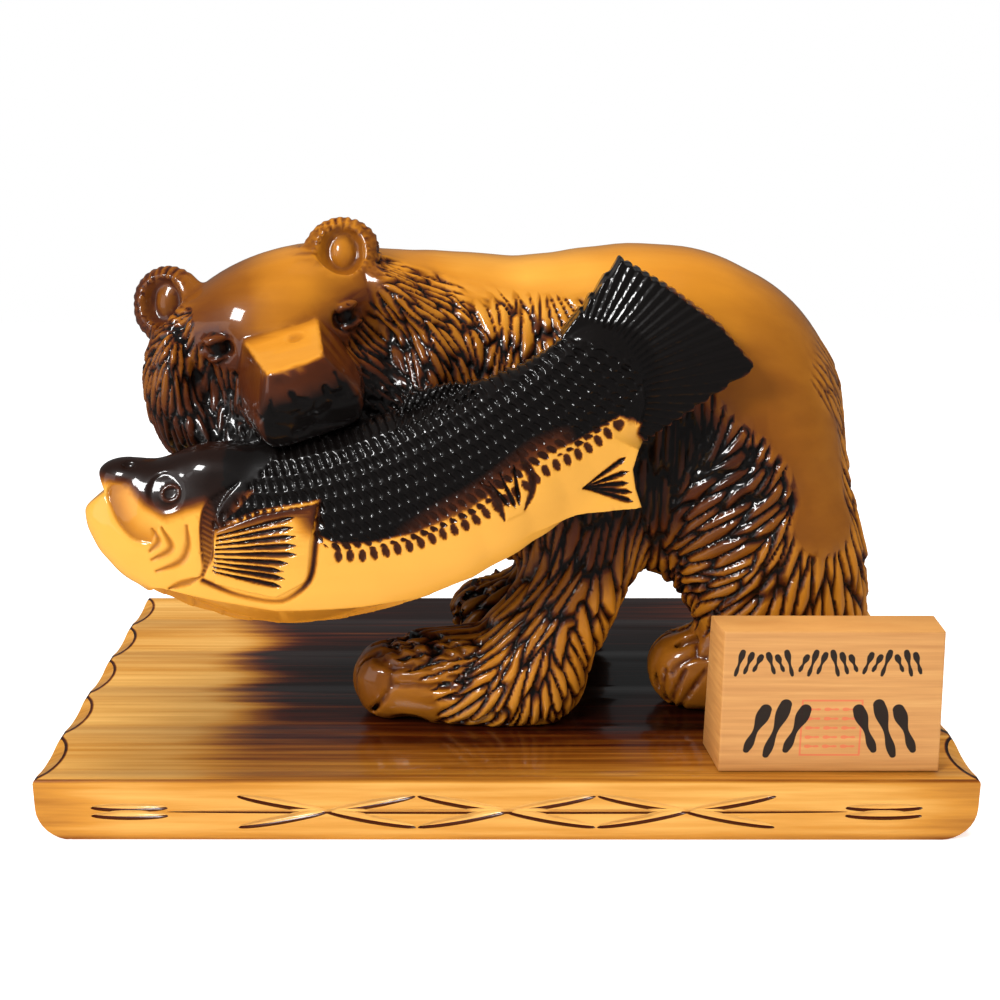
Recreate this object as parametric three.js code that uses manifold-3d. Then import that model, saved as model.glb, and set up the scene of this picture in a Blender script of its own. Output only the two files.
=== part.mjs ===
// A carved wooden bear with a salmon in its jaws, standing on a long board beside a small name block.
// Millimetres, +Z up. The origin is the middle of the board's underside, the bear walks towards -X
// and turns its face to -Y.
import * as THREE from 'three';
import { mergeVertices } from 'three/addons/utils/BufferGeometryUtils.js';
import Module from 'manifold-3d';

const wasm = await Module();
wasm.setup();

// Driving dimensions of the board
const BOARD_LENGTH = 430;
const BOARD_DEPTH = 235;
const BOARD_THICKNESS = 30;
const BOARD_END_ROUND = 16;
const SCALLOPS_PER_END = 5;
const SCALLOP_LENGTH = 50;
const SCALLOP_BITE = 9;

// Driving dimensions of the name block
const BLOCK_WIDTH = 101;
const BLOCK_HEIGHT = 69;
const BLOCK_FOOT = 29;
const BLOCK_TOP = 20;
const BLOCK_SPLAY = 3.5;
const BLOCK_LEFT_X = 97;
const BLOCK_FRONT_Y = -109;

// Driving dimensions of the bear: ground, middle plane and the tilt of its head
const GROUND = BOARD_THICKNESS;
const FOOT_GAP = 0.3;
const BEAR_MIDDLE_Y = 6;
const HEAD_TILT = THREE.MathUtils.degToRad(14);

const X = new THREE.Vector3(1, 0, 0);
const Y = new THREE.Vector3(0, 1, 0);
const Z = new THREE.Vector3(0, 0, 1);
const v = (x, y, z) => new THREE.Vector3(x, y, z);

// Solids from three.js geometry, and back

function solidOf(geometry) {
  const bare = new THREE.BufferGeometry();
  bare.setAttribute('position', geometry.getAttribute('position').clone());
  bare.setIndex(geometry.index);
  const merged = mergeVertices(bare, 1e-3);
  const vertProperties = new Float32Array(merged.getAttribute('position').array);
  const triVerts = new Uint32Array(merged.index.array);
  return new wasm.Manifold(new wasm.Mesh({ numProp: 3, vertProperties, triVerts }));
}

function geometryOf(solid) {
  const mesh = solid.getMesh();
  const geometry = new THREE.BufferGeometry();
  geometry.setAttribute('position', new THREE.BufferAttribute(mesh.vertProperties, 3));
  geometry.setIndex(new THREE.BufferAttribute(mesh.triVerts, 1));
  return geometry;
}

const joined = (solids) => solids.reduce((whole, piece) => whole.add(piece));
const cutBy = (solid, cutters) => (cutters.length ? solid.subtract(joined(cutters)) : solid);

// Wood is solid: hollows that a stroke leaves sealed inside are filled
const filled = (solid) => joined(solid.decompose().filter((body) => body.volume() > 0));

// A closed skin over rings of equal count, with a fan over each end
function skin(rings) {
  const sides = rings[0].length;
  const last = (rings.length - 1) * sides;
  const points = rings.flat();
  const index = [];
  for (let r = 0; r + 1 < rings.length; r++) {
    for (let i = 0; i < sides; i++) {
      const a = r * sides + i;
      const b = r * sides + ((i + 1) % sides);
      index.push(a, b, b + sides, a, b + sides, a + sides);
    }
  }
  const middle = (ring) => ring.reduce((sum, p) => sum.add(p), v(0, 0, 0)).divideScalar(sides);
  const head = points.push(middle(rings[0])) - 1;
  const tail = points.push(middle(rings.at(-1))) - 1;
  for (let i = 0; i < sides; i++) {
    const next = (i + 1) % sides;
    index.push(head, next, i, tail, last + i, last + next);
  }
  let volume = 0;
  for (let i = 0; i < index.length; i += 3) {
    const [a, b, c] = index.slice(i, i + 3).map((k) => points[k]);
    volume += a.dot(b.clone().cross(c));
  }
  return new THREE.BufferGeometry().setFromPoints(points).setIndex(volume < 0 ? index.reverse() : index);
}

// A form along a path: stations give its middle, its half width and its half height, ends are domed.
// The carve function gives the depth cut at each vertex, from its ring, its side and its place.
function limb(stations, { sides = 14, steps = 8, upward = Z, dome = 12, squareness = 2, carve = () => 0 }) {
  const path = new THREE.CatmullRomCurve3(stations.map((s) => v(...s.at)), false, 'centripetal');
  const girth = new THREE.CatmullRomCurve3(stations.map((s) => v(s.wide, s.high, 0)), false, 'centripetal');
  const length = path.getLength();
  const bulge = dome / length;
  const places = [0.04, 0.36].map((d) => d * bulge);
  const along = [...places];
  for (let i = 0; i <= steps; i++) along.push(THREE.MathUtils.lerp(bulge, 1 - bulge, i / steps));
  along.push(...places.map((d) => 1 - d).reverse());
  const rings = along.map((t, ring) => {
    const middle = path.getPointAt(t);
    const forward = path.getTangentAt(t);
    const across = forward.clone().cross(upward).normalize();
    const up = across.clone().cross(forward);
    const size = girth.getPoint(path.getUtoTmapping(t));
    const fromEnd = Math.min(t, 1 - t) / bulge;
    const full = fromEnd >= 1 ? 1 : Math.sqrt(1 - (1 - fromEnd) ** 2);
    return Array.from({ length: sides }, (_, i) => {
      const angle = (2 * Math.PI * i) / sides;
      const c = Math.cos(angle);
      const s = Math.sin(angle);
      const reach = full / (Math.abs(c) ** squareness + Math.abs(s) ** squareness) ** (1 / squareness);
      const offset = across.clone().multiplyScalar(c * size.x * reach).addScaledVector(up, s * size.y * reach);
      const depth = carve({ ring, side: i, t, c, s });
      return middle.clone().add(offset).addScaledVector(offset.normalize(), -depth * full);
    });
  });
  return solidOf(skin(rings));
}

// An egg with its own half sizes, turned about the given axis, its poles front and back. Flutes run from
// pole to pole, as strokes of the gouge do.
function egg(at, halves, { turn = 0, axis = Y, across = 12, down = 8, flute = 0 } = {}) {
  const geometry = new THREE.SphereGeometry(1, across, down);
  const place = geometry.getAttribute('position');
  for (let i = 0; i < place.count; i++) {
    const valley = (i % (across + 1)) % 2 ? 1 - flute : 1;
    place.setXYZ(i, place.getX(i) * valley, place.getY(i), place.getZ(i) * valley);
  }
  geometry.scale(...halves);
  geometry.applyMatrix4(new THREE.Matrix4().makeRotationAxis(axis, turn));
  geometry.translate(...at);
  return solidOf(geometry);
}

// One stroke of a V-shaped gouge: a spindle that lies along the surface and bites to its depth
function gouge(at, along, outward, { length, width, depth }) {
  const lay = along.clone().addScaledVector(outward, -along.dot(outward)).normalize();
  const across = outward.clone().cross(lay);
  const frame = new THREE.Matrix4().makeBasis(
    lay.multiplyScalar(length / 2),
    across.multiplyScalar(width / 2),
    outward.clone().multiplyScalar(depth),
  );
  const geometry = new THREE.OctahedronGeometry(1).applyMatrix4(frame);
  geometry.translate(at.x, at.y, at.z);
  return solidOf(geometry);
}

// The board: rounded ends below, a row of scallops along the top of each end, a carved front edge

const ORNAMENT_PITCH = 82;
const ORNAMENT_HEIGHT = 14.5;
const LEAF = { length: 41, width: 4.4, depth: 2.2 };
const STEM = { length: 312, width: 2.6, depth: 1.6 };
const LEAF_RISE = THREE.MathUtils.degToRad(8);
const END_LEAF_MIDDLE = 171;
const END_LEAF_SPREAD = 2.4;

function boardBlank() {
  const half = BOARD_LENGTH / 2;
  const r = BOARD_END_ROUND;
  const outline = new THREE.Shape();
  outline.moveTo(-half + r, 0);
  outline.lineTo(half - r, 0);
  outline.absarc(half - r, r, r, -Math.PI / 2, 0);
  outline.lineTo(half - 2, BOARD_THICKNESS);
  outline.lineTo(-half + 2, BOARD_THICKNESS);
  outline.lineTo(-half, r);
  outline.absarc(-half + r, r, r, Math.PI, 1.5 * Math.PI);
  const geometry = new THREE.ExtrudeGeometry(outline, {
    depth: BOARD_DEPTH,
    bevelEnabled: false,
    curveSegments: 5,
  });
  geometry.rotateX(Math.PI / 2);
  geometry.translate(0, BOARD_DEPTH / 2, 0);
  return solidOf(geometry);
}

function scallopCutters() {
  const cutters = [];
  const pitch = BOARD_DEPTH / SCALLOPS_PER_END;
  const reach = 30;
  for (const end of [-1, 1]) {
    for (let i = 0; i < SCALLOPS_PER_END; i++) {
      const y = -BOARD_DEPTH / 2 + pitch * (i + 0.5);
      const lift = reach - SCALLOP_BITE;
      const place = [end * (BOARD_LENGTH / 2 + lift * 0.75), y, BOARD_THICKNESS + lift * 0.6];
      cutters.push(egg(place, [reach, SCALLOP_LENGTH * 0.62, reach], { across: 16, down: 8 }));
    }
  }
  return cutters;
}

function frontOrnament() {
  const outward = v(0, -1, 0);
  const on = (x, z) => v(x, -BOARD_DEPTH / 2, z);
  const cutters = [gouge(on(0, ORNAMENT_HEIGHT), X, outward, STEM)];
  const leafReach = LEAF.length / 2 + 1;
  for (const node of [-ORNAMENT_PITCH, 0, ORNAMENT_PITCH]) {
    for (const side of [-1, 1]) {
      for (const rise of [-1, 1]) {
        const lay = v(side * Math.cos(LEAF_RISE), 0, rise * Math.sin(LEAF_RISE));
        const middle = on(node, ORNAMENT_HEIGHT).addScaledVector(lay, leafReach).add(v(0, 0, rise * 1.5));
        cutters.push(gouge(middle, lay, outward, LEAF));
      }
    }
  }
  for (const side of [-1, 1]) {
    for (const rise of [-1, 1]) {
      const middle = on(side * END_LEAF_MIDDLE, ORNAMENT_HEIGHT + rise * END_LEAF_SPREAD);
      cutters.push(gouge(middle, X, outward, { ...LEAF, length: 32 }));
    }
  }
  return cutters;
}

function board() {
  return cutBy(boardBlank(), [...scallopCutters(), ...frontOrnament()]);
}

// The name block: a wedge that leans back a little

function nameBlock() {
  const left = BLOCK_LEFT_X;
  const right = BLOCK_LEFT_X + BLOCK_WIDTH;
  const front = BLOCK_FRONT_Y;
  const lean = (BLOCK_FOOT - BLOCK_TOP) / 2;
  const level = (low, sideLean, z) => [
    v(left + sideLean * 0.2, front + low, z),
    v(right - sideLean, front + low, z),
    v(right - sideLean, front + BLOCK_FOOT - low, z),
    v(left - BLOCK_SPLAY + sideLean, front + BLOCK_FOOT - low, z),
  ];
  const foot = BOARD_THICKNESS + FOOT_GAP;
  return solidOf(skin([level(0, 0, foot), level(lean, 2.4, foot + BLOCK_HEIGHT)]));
}

// The bear's trunk, neck and head

const station = (x, y, z, wide, high) => ({ at: [x, y, z], wide, high });

const FLANK_RIB = 2.6;
const LOCK = 2.8;
const TOE_CLEFT = 3.2;

// Ribs of fur run down the flanks, the saddle of the back stays smooth
const flankRibs = ({ ring, c, s }) => (ring % 2 && Math.abs(c) > 0.3 && s < 0.75 ? FLANK_RIB : 0);
// Locks of fur run along a limb and change place every second ring
const locks = ({ ring, side }) => ((side + Math.floor(ring / 2)) % 2 ? LOCK : 0);
// Locks over the instep and clefts between the toes
const toes = ({ side, t }) => (side % 2 ? THREE.MathUtils.lerp(LOCK * 0.6, TOE_CLEFT, t) : 0);

function trunk() {
  const y = BEAR_MIDDLE_Y;
  return limb(
    [
      station(-62, y, 174, 44, 54),
      station(-32, y, 175, 58, 72),
      station(5, y, 173, 62, 75),
      station(45, y, 174, 63, 80),
      station(76, y, 174, 64, 81),
      station(97, y, 168, 63, 72),
      station(111, y, 152, 57, 56),
      station(127, y, 130, 46, 38),
    ],
    { sides: 16, steps: 21, dome: 22, squareness: 2.3, carve: flankRibs },
  );
}

function neck() {
  return limb(
    [
      station(34, 5, 178, 48, 54),
      station(-36, -4, 190, 60, 61),
      station(-76, -22, 203, 54, 54),
      station(-100, -46, 208, 46, 48),
    ],
    { sides: 24, steps: 5, dome: 20, carve: ({ side, s }) => (side % 2 && s < 0.7 ? LOCK : 0) },
  );
}

const headUp = v(-Math.sin(HEAD_TILT), 0, Math.cos(HEAD_TILT));

function head() {
  const skull = limb(
    [
      station(-100, 2, 218, 42, 34),
      station(-101, -24, 212, 55, 44),
      station(-101, -48, 208, 59, 47),
      station(-101, -66, 205, 54, 41),
      station(-99, -80, 202, 42, 29),
      station(-95, -90, 200, 28, 22),
    ],
    { sides: 16, steps: 6, upward: headUp, dome: 10, squareness: 2.3 },
  );
  const muzzle = limb(
    [
      station(-97, -70, 203, 33, 26),
      station(-93, -88, 201.5, 29, 23),
      station(-89, -103, 200, 24, 18),
      station(-86.5, -113, 198.5, 21, 15),
    ],
    { sides: 12, steps: 3, upward: headUp, dome: 6, squareness: 3.4 },
  );
  const cheeks = [
    egg([-135, -50, 193], [32, 31, 42], { turn: -HEAD_TILT, across: 24, down: 7, flute: 0.1 }),
    egg([-62, -50, 206], [35, 34, 43], { turn: -HEAD_TILT, across: 24, down: 7, flute: 0.1 }),
  ];
  return joined([skull, muzzle, ...cheeks]);
}

const EARS = [
  { at: v(-153, -44, 234), facing: v(-0.35, -0.9, 0.15), radius: 16.5 },
  { at: v(-75, -44, 256), facing: v(0.05, -0.95, 0.3), radius: 18 },
];

function ears() {
  return EARS.map(({ at, facing, radius }) => {
    const turned = new THREE.Quaternion().setFromUnitVectors(Z, facing.clone().normalize());
    const shell = new THREE.SphereGeometry(radius, 12, 6).scale(1, 1, 0.6).applyQuaternion(turned);
    const bowl = new THREE.SphereGeometry(radius * 0.62, 8, 5).scale(1, 1, 0.7).applyQuaternion(turned);
    shell.translate(at.x, at.y, at.z);
    const mouth = at.clone().addScaledVector(facing, radius * 0.62);
    bowl.translate(mouth.x, mouth.y, mouth.z);
    return solidOf(shell).subtract(solidOf(bowl));
  });
}

// Legs and paws

const FORE_LEGS = [
  [
    station(22, -22, 168, 34, 40),
    station(38, -32, 118, 25, 28),
    station(31, -39, 90, 23, 26),
    station(8, -43, 55, 24, 30),
  ],
  [
    station(22, 34, 168, 34, 40),
    station(40, 42, 118, 24, 28),
    station(38, 46, 90, 22, 25),
    station(26, 48, 55, 22, 28),
  ],
];
const HIND_LEGS = [
  [
    station(112, -18, 160, 40, 44),
    station(124, -27, 122, 34, 50),
    station(137, -33, 86, 27, 43),
    station(143, -32, 50, 25, 35),
  ],
  [
    station(116, 30, 160, 40, 44),
    station(138, 38, 122, 33, 36),
    station(150, 42, 86, 26, 32),
    station(153, 42, 50, 24, 28),
  ],
];
const PAWS = [
  [station(33, -43, 44, 21, 16), station(2, -44, 50, 26, 24), station(-40, -42, 49, 23, 22), station(-74, -38, 45, 19, 16)],
  [station(54, 48, 44, 20, 15), station(26, 48, 50, 24, 22), station(0, 48, 50, 23, 20), station(-27, 48, 45, 19, 15)],
  [station(172, -31, 44, 20, 16), station(140, -31, 50, 25, 22), station(105, -30, 50, 23, 22), station(77, -29, 46, 20, 17)],
  [station(182, 42, 44, 20, 15), station(158, 42, 50, 24, 20), station(134, 43, 50, 23, 20), station(113, 44, 46, 19, 16)],
];

function legs() {
  const shafts = [...FORE_LEGS, ...HIND_LEGS].map((path) =>
    limb(path, { sides: 20, steps: 6, upward: X, dome: 14, carve: locks }),
  );
  const feet = PAWS.map((path) => limb(path, { sides: 18, steps: 3, dome: 8, squareness: 2.8, carve: toes }));
  return [...shafts, ...feet];
}

// Places on a surface, found by looking at it from outside

function lookAt(solid) {
  const target = new THREE.Mesh(geometryOf(solid), new THREE.MeshBasicMaterial({ side: THREE.DoubleSide }));
  const caster = new THREE.Raycaster();
  return (from, toward) => {
    caster.set(from, toward.clone().normalize());
    const [hit] = caster.intersectObject(target);
    return hit && { at: hit.point, outward: hit.face.normal.clone() };
  };
}

const FAR = 240;

// The face: eyes in round sockets, a nose with two nostrils and the line of the lips
const EYES = [{ x: -129, z: 219 }, { x: -69.5, z: 234 }];
const EYE_SOCKET = 7.5;
const EYE = 5;
const NOSE = { at: [-86, -109.7, 206.5], halves: [17, 7.5, 9] };

function face(solid, look) {
  const sockets = [];
  const eyes = [];
  for (const { x, z } of EYES) {
    const hit = look(v(x, -FAR, z), v(0, 1, 0));
    const { at, outward } = hit;
    const place = (depth) => at.clone().addScaledVector(outward, depth).toArray();
    sockets.push(egg(place(2), [EYE_SOCKET, EYE_SOCKET, EYE_SOCKET], { across: 10, down: 6 }));
    eyes.push(egg(place(-3.6), [EYE, EYE, EYE], { across: 10, down: 6 }));
  }
  const nose = egg(NOSE.at, NOSE.halves, { turn: -HEAD_TILT, across: 14, down: 8 });
  const [x, y, z] = NOSE.at;
  const nostrils = [-1, 1].map((side) => {
    const at = v(x + side * 8.4, y - 5.5, z - 1.5 + side * 2);
    return gouge(at, v(side, 0, 0.6), v(0, -1, 0), { length: 9, width: 5, depth: 4.5 });
  });
  const lips = [-1, 1].map((side) => {
    const at = v(x + side * 13, -111.5, 191 + side * 3.2);
    return gouge(at, v(1, 0, side * -0.35 + 0.24), v(side * 0.3, -1, 0), { length: 24, width: 4, depth: 3.5 });
  });
  const cleft = gouge(v(x, -115, 196), headUp, v(0, -1, 0), { length: 15, width: 3.4, depth: 3 });
  return cutBy(joined([cutBy(solid, sockets), ...eyes, nose]), [...nostrils, ...lips, cleft]);
}

function earCuts() {
  return EARS.flatMap(({ at, facing, radius }) => {
    const turned = new THREE.Quaternion().setFromUnitVectors(Z, facing.clone().normalize());
    return Array.from({ length: 6 }, (_, i) => {
      const angle = (i / 6) * Math.PI * 2;
      const radial = v(Math.cos(angle), Math.sin(angle), 0).applyQuaternion(turned);
      const outward = radial.clone().add(facing).normalize();
      const place = at.clone().addScaledVector(radial, radius * 0.8).addScaledVector(facing, radius * 0.42);
      return gouge(place, radial, outward, { length: 11, width: 3.4, depth: 1.8 });
    });
  });
}

function bear() {
  const rough = joined([trunk(), neck(), head(), ...ears(), ...legs()]);
  const floor = new THREE.BoxGeometry(BOARD_LENGTH, BOARD_DEPTH, GROUND * 2);
  floor.translate(0, 0, FOOT_GAP);
  const standing = rough.subtract(solidOf(floor));
  const look = lookAt(standing);
  const arch = gouge(v(-45, -63, GROUND), v(1, 0.12, 0), v(0, -0.7, -0.7), { length: 34, width: 15, depth: 8 });
  return face(cutBy(standing, [...earCuts(), arch]), look);
}

// The salmon across the jaws, its tail laid against the bear's flank

const FISH = [
  station(-184, -94, 158, 6, 8),
  station(-168, -94, 150, 13, 22),
  station(-145, -93, 143, 20, 33),
  station(-105, -91, 139, 23, 43),
  station(-60, -89, 146.5, 23, 44),
  station(-15, -86, 164, 20, 41),
  station(25, -78, 187, 15, 34),
  station(54, -70, 210, 10, 28),
];

const FISH_EYE = v(-146, -118, 163);
const MOUTH = { at: [-176, -94, 152], halves: [17, 40, 3.4], turn: THREE.MathUtils.degToRad(38) };
const GILL_ARC = [v(-114, -122, 171), v(-128, -122, 160), v(-134, -122, 143), v(-133, -122, 126)];
const SCALE = { length: 13, width: 4.6, depth: 1.8 };
const SCALE_ROWS = 3;
const SCALES_PER_ROW = 8;

// The salmon's body: open mouth, round eye, gill cover and rows of scales over the back
function salmon() {
  const body = limb(FISH, { sides: 14, steps: 11, dome: 6 });
  const look = lookAt(body);
  const cutters = [egg(MOUTH.at, MOUTH.halves, { turn: MOUTH.turn, across: 10, down: 6 })];
  for (const side of [-1, 1]) {
    const onSide = (p) => look(v(p.x, p.y + (side < 0 ? -FAR : FAR), p.z), v(0, -side, 0));
    for (let i = 0; i + 1 < GILL_ARC.length; i++) {
      const [a, b] = [GILL_ARC[i], GILL_ARC[i + 1]];
      const hit = onSide(a.clone().lerp(b, 0.5));
      const length = a.distanceTo(b) * 1.5;
      if (hit) cutters.push(gouge(hit.at, b.clone().sub(a), hit.outward, { length, width: 5, depth: 3 }));
    }
    const eye = onSide(FISH_EYE);
    if (eye) cutters.push(gouge(eye.at, X, eye.outward, { length: 10, width: 8, depth: 2 }));
  }
  cutters.push(...scaleCuts(look));
  return cutBy(body, cutters);
}

function scaleCuts(look) {
  const path = new THREE.CatmullRomCurve3(FISH.map((s) => v(...s.at)), false, 'centripetal');
  const high = (t) => FISH[Math.min(FISH.length - 1, Math.round(t * (FISH.length - 1)))].high;
  const cutters = [];
  for (let row = 0; row < SCALE_ROWS; row++) {
    for (let i = 0; i < SCALES_PER_ROW; i++) {
      const t = THREE.MathUtils.lerp(0.42, 0.95, (i + (row % 2) * 0.5) / SCALES_PER_ROW);
      const lift = high(t) * THREE.MathUtils.lerp(0.66, -0.05, row / (SCALE_ROWS - 1));
      const hit = look(path.getPointAt(t).add(v(0, -FAR, lift)), Y);
      if (hit) cutters.push(gouge(hit.at, v(0.5, 0, -0.85), hit.outward, SCALE));
    }
  }
  return cutters;
}

// A fan of ribs, as a fin is carved: it spreads from its root line to its edge, ribs alternate in depth
function fan({ root, edge, outward, thickness, backing = 0, ribs, rise, rows = 3 }) {
  const columns = ribs * 2;
  const rootLine = new THREE.LineCurve3(...root);
  const edgeLine = new THREE.CatmullRomCurve3(edge);
  const rings = [];
  for (let c = 0; c <= columns; c++) {
    const t = c / columns;
    const from = rootLine.getPoint(t);
    const to = edgeLine.getPoint(t);
    const front = [];
    const back = [];
    for (let r = 0; r <= rows; r++) {
      const s = r / rows;
      const middle = from.clone().lerp(to, s);
      const half = THREE.MathUtils.lerp(thickness[0], thickness[1], s) / 2;
      const rib = (c % 2 ? -1 : 1) * rise * Math.min(1, s * 2) * 0.5;
      front.push(middle.clone().addScaledVector(outward, half + rib));
      back.push(middle.clone().addScaledVector(outward, -half - backing));
    }
    rings.push([...front, ...back.reverse()]);
  }
  return solidOf(skin(rings));
}

function tailFin() {
  return fan({
    root: [v(28, -74, 222), v(60, -70, 182)],
    edge: [v(50, -62, 259), v(74, -65, 245), v(96, -64, 229), v(113, -62, 210)],
    outward: v(0.1, -1, 0).normalize(),
    thickness: [18, 12],
    backing: 12,
    ribs: 9,
    rise: 2.4,
  });
}

function smallFins() {
  const pectoral = {
    root: [v(-127, -109, 146), v(-128, -107, 128)],
    edge: [v(-86, -113.4, 159), v(-81, -113.4, 147), v(-87, -112, 129), v(-102, -108, 116)],
    outward: v(0, -1, 0),
    thickness: [7, 6],
    ribs: 6,
    rise: 1.6,
    rows: 2,
  };
  const pelvic = {
    root: [v(-12, -104, 170), v(8, -102, 180)],
    edge: [v(-11, -107, 164), v(-3, -108, 152), v(9, -107, 161), v(12, -104, 177)],
    outward: v(0, -1, 0),
    thickness: [7, 5],
    ribs: 4,
    rise: 1.4,
    rows: 2,
  };
  const anal = {
    root: [v(33, -84, 158), v(54, -80, 175)],
    edge: [v(34, -86, 147), v(46, -84, 145.5), v(58, -80, 147), v(60, -78, 170)],
    outward: v(0, -1, 0),
    thickness: [9, 5],
    ribs: 4,
    rise: 1.4,
    rows: 2,
  };
  const dorsal = {
    root: [v(-46, -90, 184), v(-12, -86, 196)],
    edge: [v(-46, -90, 195), v(-32, -88, 204), v(-18, -87, 208), v(-12, -86, 206)],
    outward: v(0, -1, 0),
    thickness: [9, 5],
    ribs: 4,
    rise: 1.2,
    rows: 2,
  };
  return [pectoral, pelvic, anal, dorsal].map(fan);
}

const bearSolid = bear();
const salmonSolid = joined([salmon(), tailFin(), ...smallFins()]);

function piece(name, solid, colour, roughness) {
  const material = new THREE.MeshStandardMaterial({ color: colour, roughness, metalness: 0 });
  const mesh = new THREE.Mesh(geometryOf(solid), material);
  mesh.name = name;
  return mesh;
}

const carving = new THREE.Group();
carving.add(
  piece('plinth_board', board(), 0xc98a3c, 0.35),
  piece('name_block', nameBlock(), 0xe0a860, 0.6),
  piece('bear_with_salmon', filled(bearSolid.add(salmonSolid)), 0x8a5a24, 0.25),
);

export default carving;
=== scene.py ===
"""Carved bear with a salmon on a scalloped board: the pieces that show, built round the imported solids."""

import math

import bmesh
import bpy
import numpy as np
import openvdb
from bpy.props import FloatProperty, FloatVectorProperty, IntProperty, PointerProperty
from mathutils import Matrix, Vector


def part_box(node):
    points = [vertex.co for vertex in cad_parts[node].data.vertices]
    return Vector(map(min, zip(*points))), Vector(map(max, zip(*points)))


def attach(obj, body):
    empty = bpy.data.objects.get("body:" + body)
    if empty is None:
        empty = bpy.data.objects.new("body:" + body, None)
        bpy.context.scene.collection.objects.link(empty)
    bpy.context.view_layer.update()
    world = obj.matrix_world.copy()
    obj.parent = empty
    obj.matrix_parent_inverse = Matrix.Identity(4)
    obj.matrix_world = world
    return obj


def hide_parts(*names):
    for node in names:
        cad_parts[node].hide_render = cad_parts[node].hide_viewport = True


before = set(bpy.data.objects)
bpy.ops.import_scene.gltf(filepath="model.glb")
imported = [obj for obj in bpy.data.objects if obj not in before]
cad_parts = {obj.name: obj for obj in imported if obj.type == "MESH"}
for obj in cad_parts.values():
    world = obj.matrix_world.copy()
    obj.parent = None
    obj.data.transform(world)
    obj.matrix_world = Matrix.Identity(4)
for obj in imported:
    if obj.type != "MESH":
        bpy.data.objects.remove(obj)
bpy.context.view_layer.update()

bl_info = {
    "name": "Carved bear with salmon",
    "version": (1, 0, 0),
    "blender": (4, 5, 0),
    "location": "3D View > Sidebar > Carving",
    "description": "Builds a stained wood carving of a bear and its salmon on a board",
    "category": "Add Mesh",
}

MM = 0.001
HEAD_TILT = math.radians(14)
BEAR_MIDDLE_Y = 6.0
FOOT_LEVEL = 30.3
FAR_AWAY = 40.0
SIGHT = (450.0, 900.0, 0.25)
VIEWER = np.array([-3.0, -730.0, 350.35])


def unit(vector):
    """The vector at a length of 1."""
    vector = np.asarray(vector, float)
    return vector / np.linalg.norm(vector)


def ease(low, high, value):
    """Smooth step from 0 at low to 1 at high."""
    t = np.clip((value - low) / (high - low), 0.0, 1.0)
    return t * t * (3.0 - 2.0 * t)


# Forms: each is a distance in millimetres with the box that holds it


class Form:
    """A shape: its distance, below zero inside, and the box round it."""

    def __init__(self, distance, low, high):
        self.distance = distance
        self.low = np.asarray(low, float)
        self.high = np.asarray(high, float)


def local(at, axes, x, y, z):
    """Places measured from a point along three axes."""
    dx, dy, dz = x - at[0], y - at[1], z - at[2]
    return [dx * a[0] + dy * a[1] + dz * a[2] for a in axes]


def egg(at, halves, axes=np.eye(3)):
    """An egg with its own half sizes along its own axes."""
    axes = np.asarray(axes, float)
    halves = np.asarray(halves, float)
    reach = np.sqrt(((axes * halves[:, None]) ** 2).sum(0))

    def distance(x, y, z):
        q = local(at, axes, x, y, z)
        near = sum((c / h) ** 2 for c, h in zip(q, halves)) ** 0.5
        steep = sum((c / h**2) ** 2 for c, h in zip(q, halves)) ** 0.5
        return near * (near - 1.0) / np.maximum(steep, 1e-5)

    return Form(distance, np.asarray(at) - reach, np.asarray(at) + reach)


def along_curve(points, count):
    """A smooth run of points through the given ones, evenly stepped between them."""
    points = np.asarray(points, float)
    ends = np.vstack([2 * points[0] - points[1], points, 2 * points[-1] - points[-2]])
    t = np.linspace(0, len(points) - 1 - 1e-9, count)
    i = t.astype(int)
    f = (t - i)[:, None]
    a, b, c, d = ends[i], ends[i + 1], ends[i + 2], ends[i + 3]
    bend = (2 * a - 5 * b + 4 * c - d) * f**2
    return 0.5 * (2 * b + (c - a) * f + bend + (3 * b - a - 3 * c + d) * f**3)


def limb(stations, upward=(0, 0, 1), pieces=10, square=2.0, dome=14.0):
    """A form along a path of stations (x, y, z, half width, half height), domed at both ends."""
    run = along_curve(stations, pieces + 1)
    run[0, :3] += dome * unit(run[1, :3] - run[0, :3])
    run[-1, :3] -= dome * unit(run[-1, :3] - run[-2, :3])
    last = len(run) - 2
    reach = run[:, 3:].max(1)[:, None]
    low, high = (run[:, :3] - reach).min(0), (run[:, :3] + reach).max(0)

    def distance(x, y, z):
        best = None
        for i, (a, b) in enumerate(zip(run[:-1], run[1:])):
            step = b[:3] - a[:3]
            length = np.linalg.norm(step)
            forward = step / length
            across = unit(np.cross(forward, upward))
            up = np.cross(across, forward)
            r, u, f = local(a[:3], (across, up, forward), x, y, z)
            t = np.clip(f / length, 0, 1)
            wide, tall = a[3] + t * (b[3] - a[3]), a[4] + t * (b[4] - a[4])
            f = f - t * length
            tip = np.where(f < 0, dome if i == 0 else a[4], dome if i == last else b[4])
            if square == 2.0:
                near = ((r / wide) ** 2 + (u / tall) ** 2 + (f / tip) ** 2) ** 0.5
            else:
                flat = (np.abs(r / wide) ** square + np.abs(u / tall) ** square) ** (1 / square)
                near = (flat**2 + (f / tip) ** 2) ** 0.5
            steep = ((r / wide**2) ** 2 + (u / tall**2) ** 2 + (f / tip**2) ** 2) ** 0.5
            d = near * (near - 1.0) / np.maximum(steep, 1e-5)
            best = d if best is None else np.minimum(best, d)
        return best

    return Form(distance, low, high)


def rod(points, radius):
    """A thin round rod through the given points, used for the lines that a small gouge cuts."""
    stations = [(*p, radius, radius) for p in points]
    return limb(stations, upward=(0.31, 0.2, 0.93), pieces=max(2, 3 * (len(points) - 1)), dome=radius)


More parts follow.
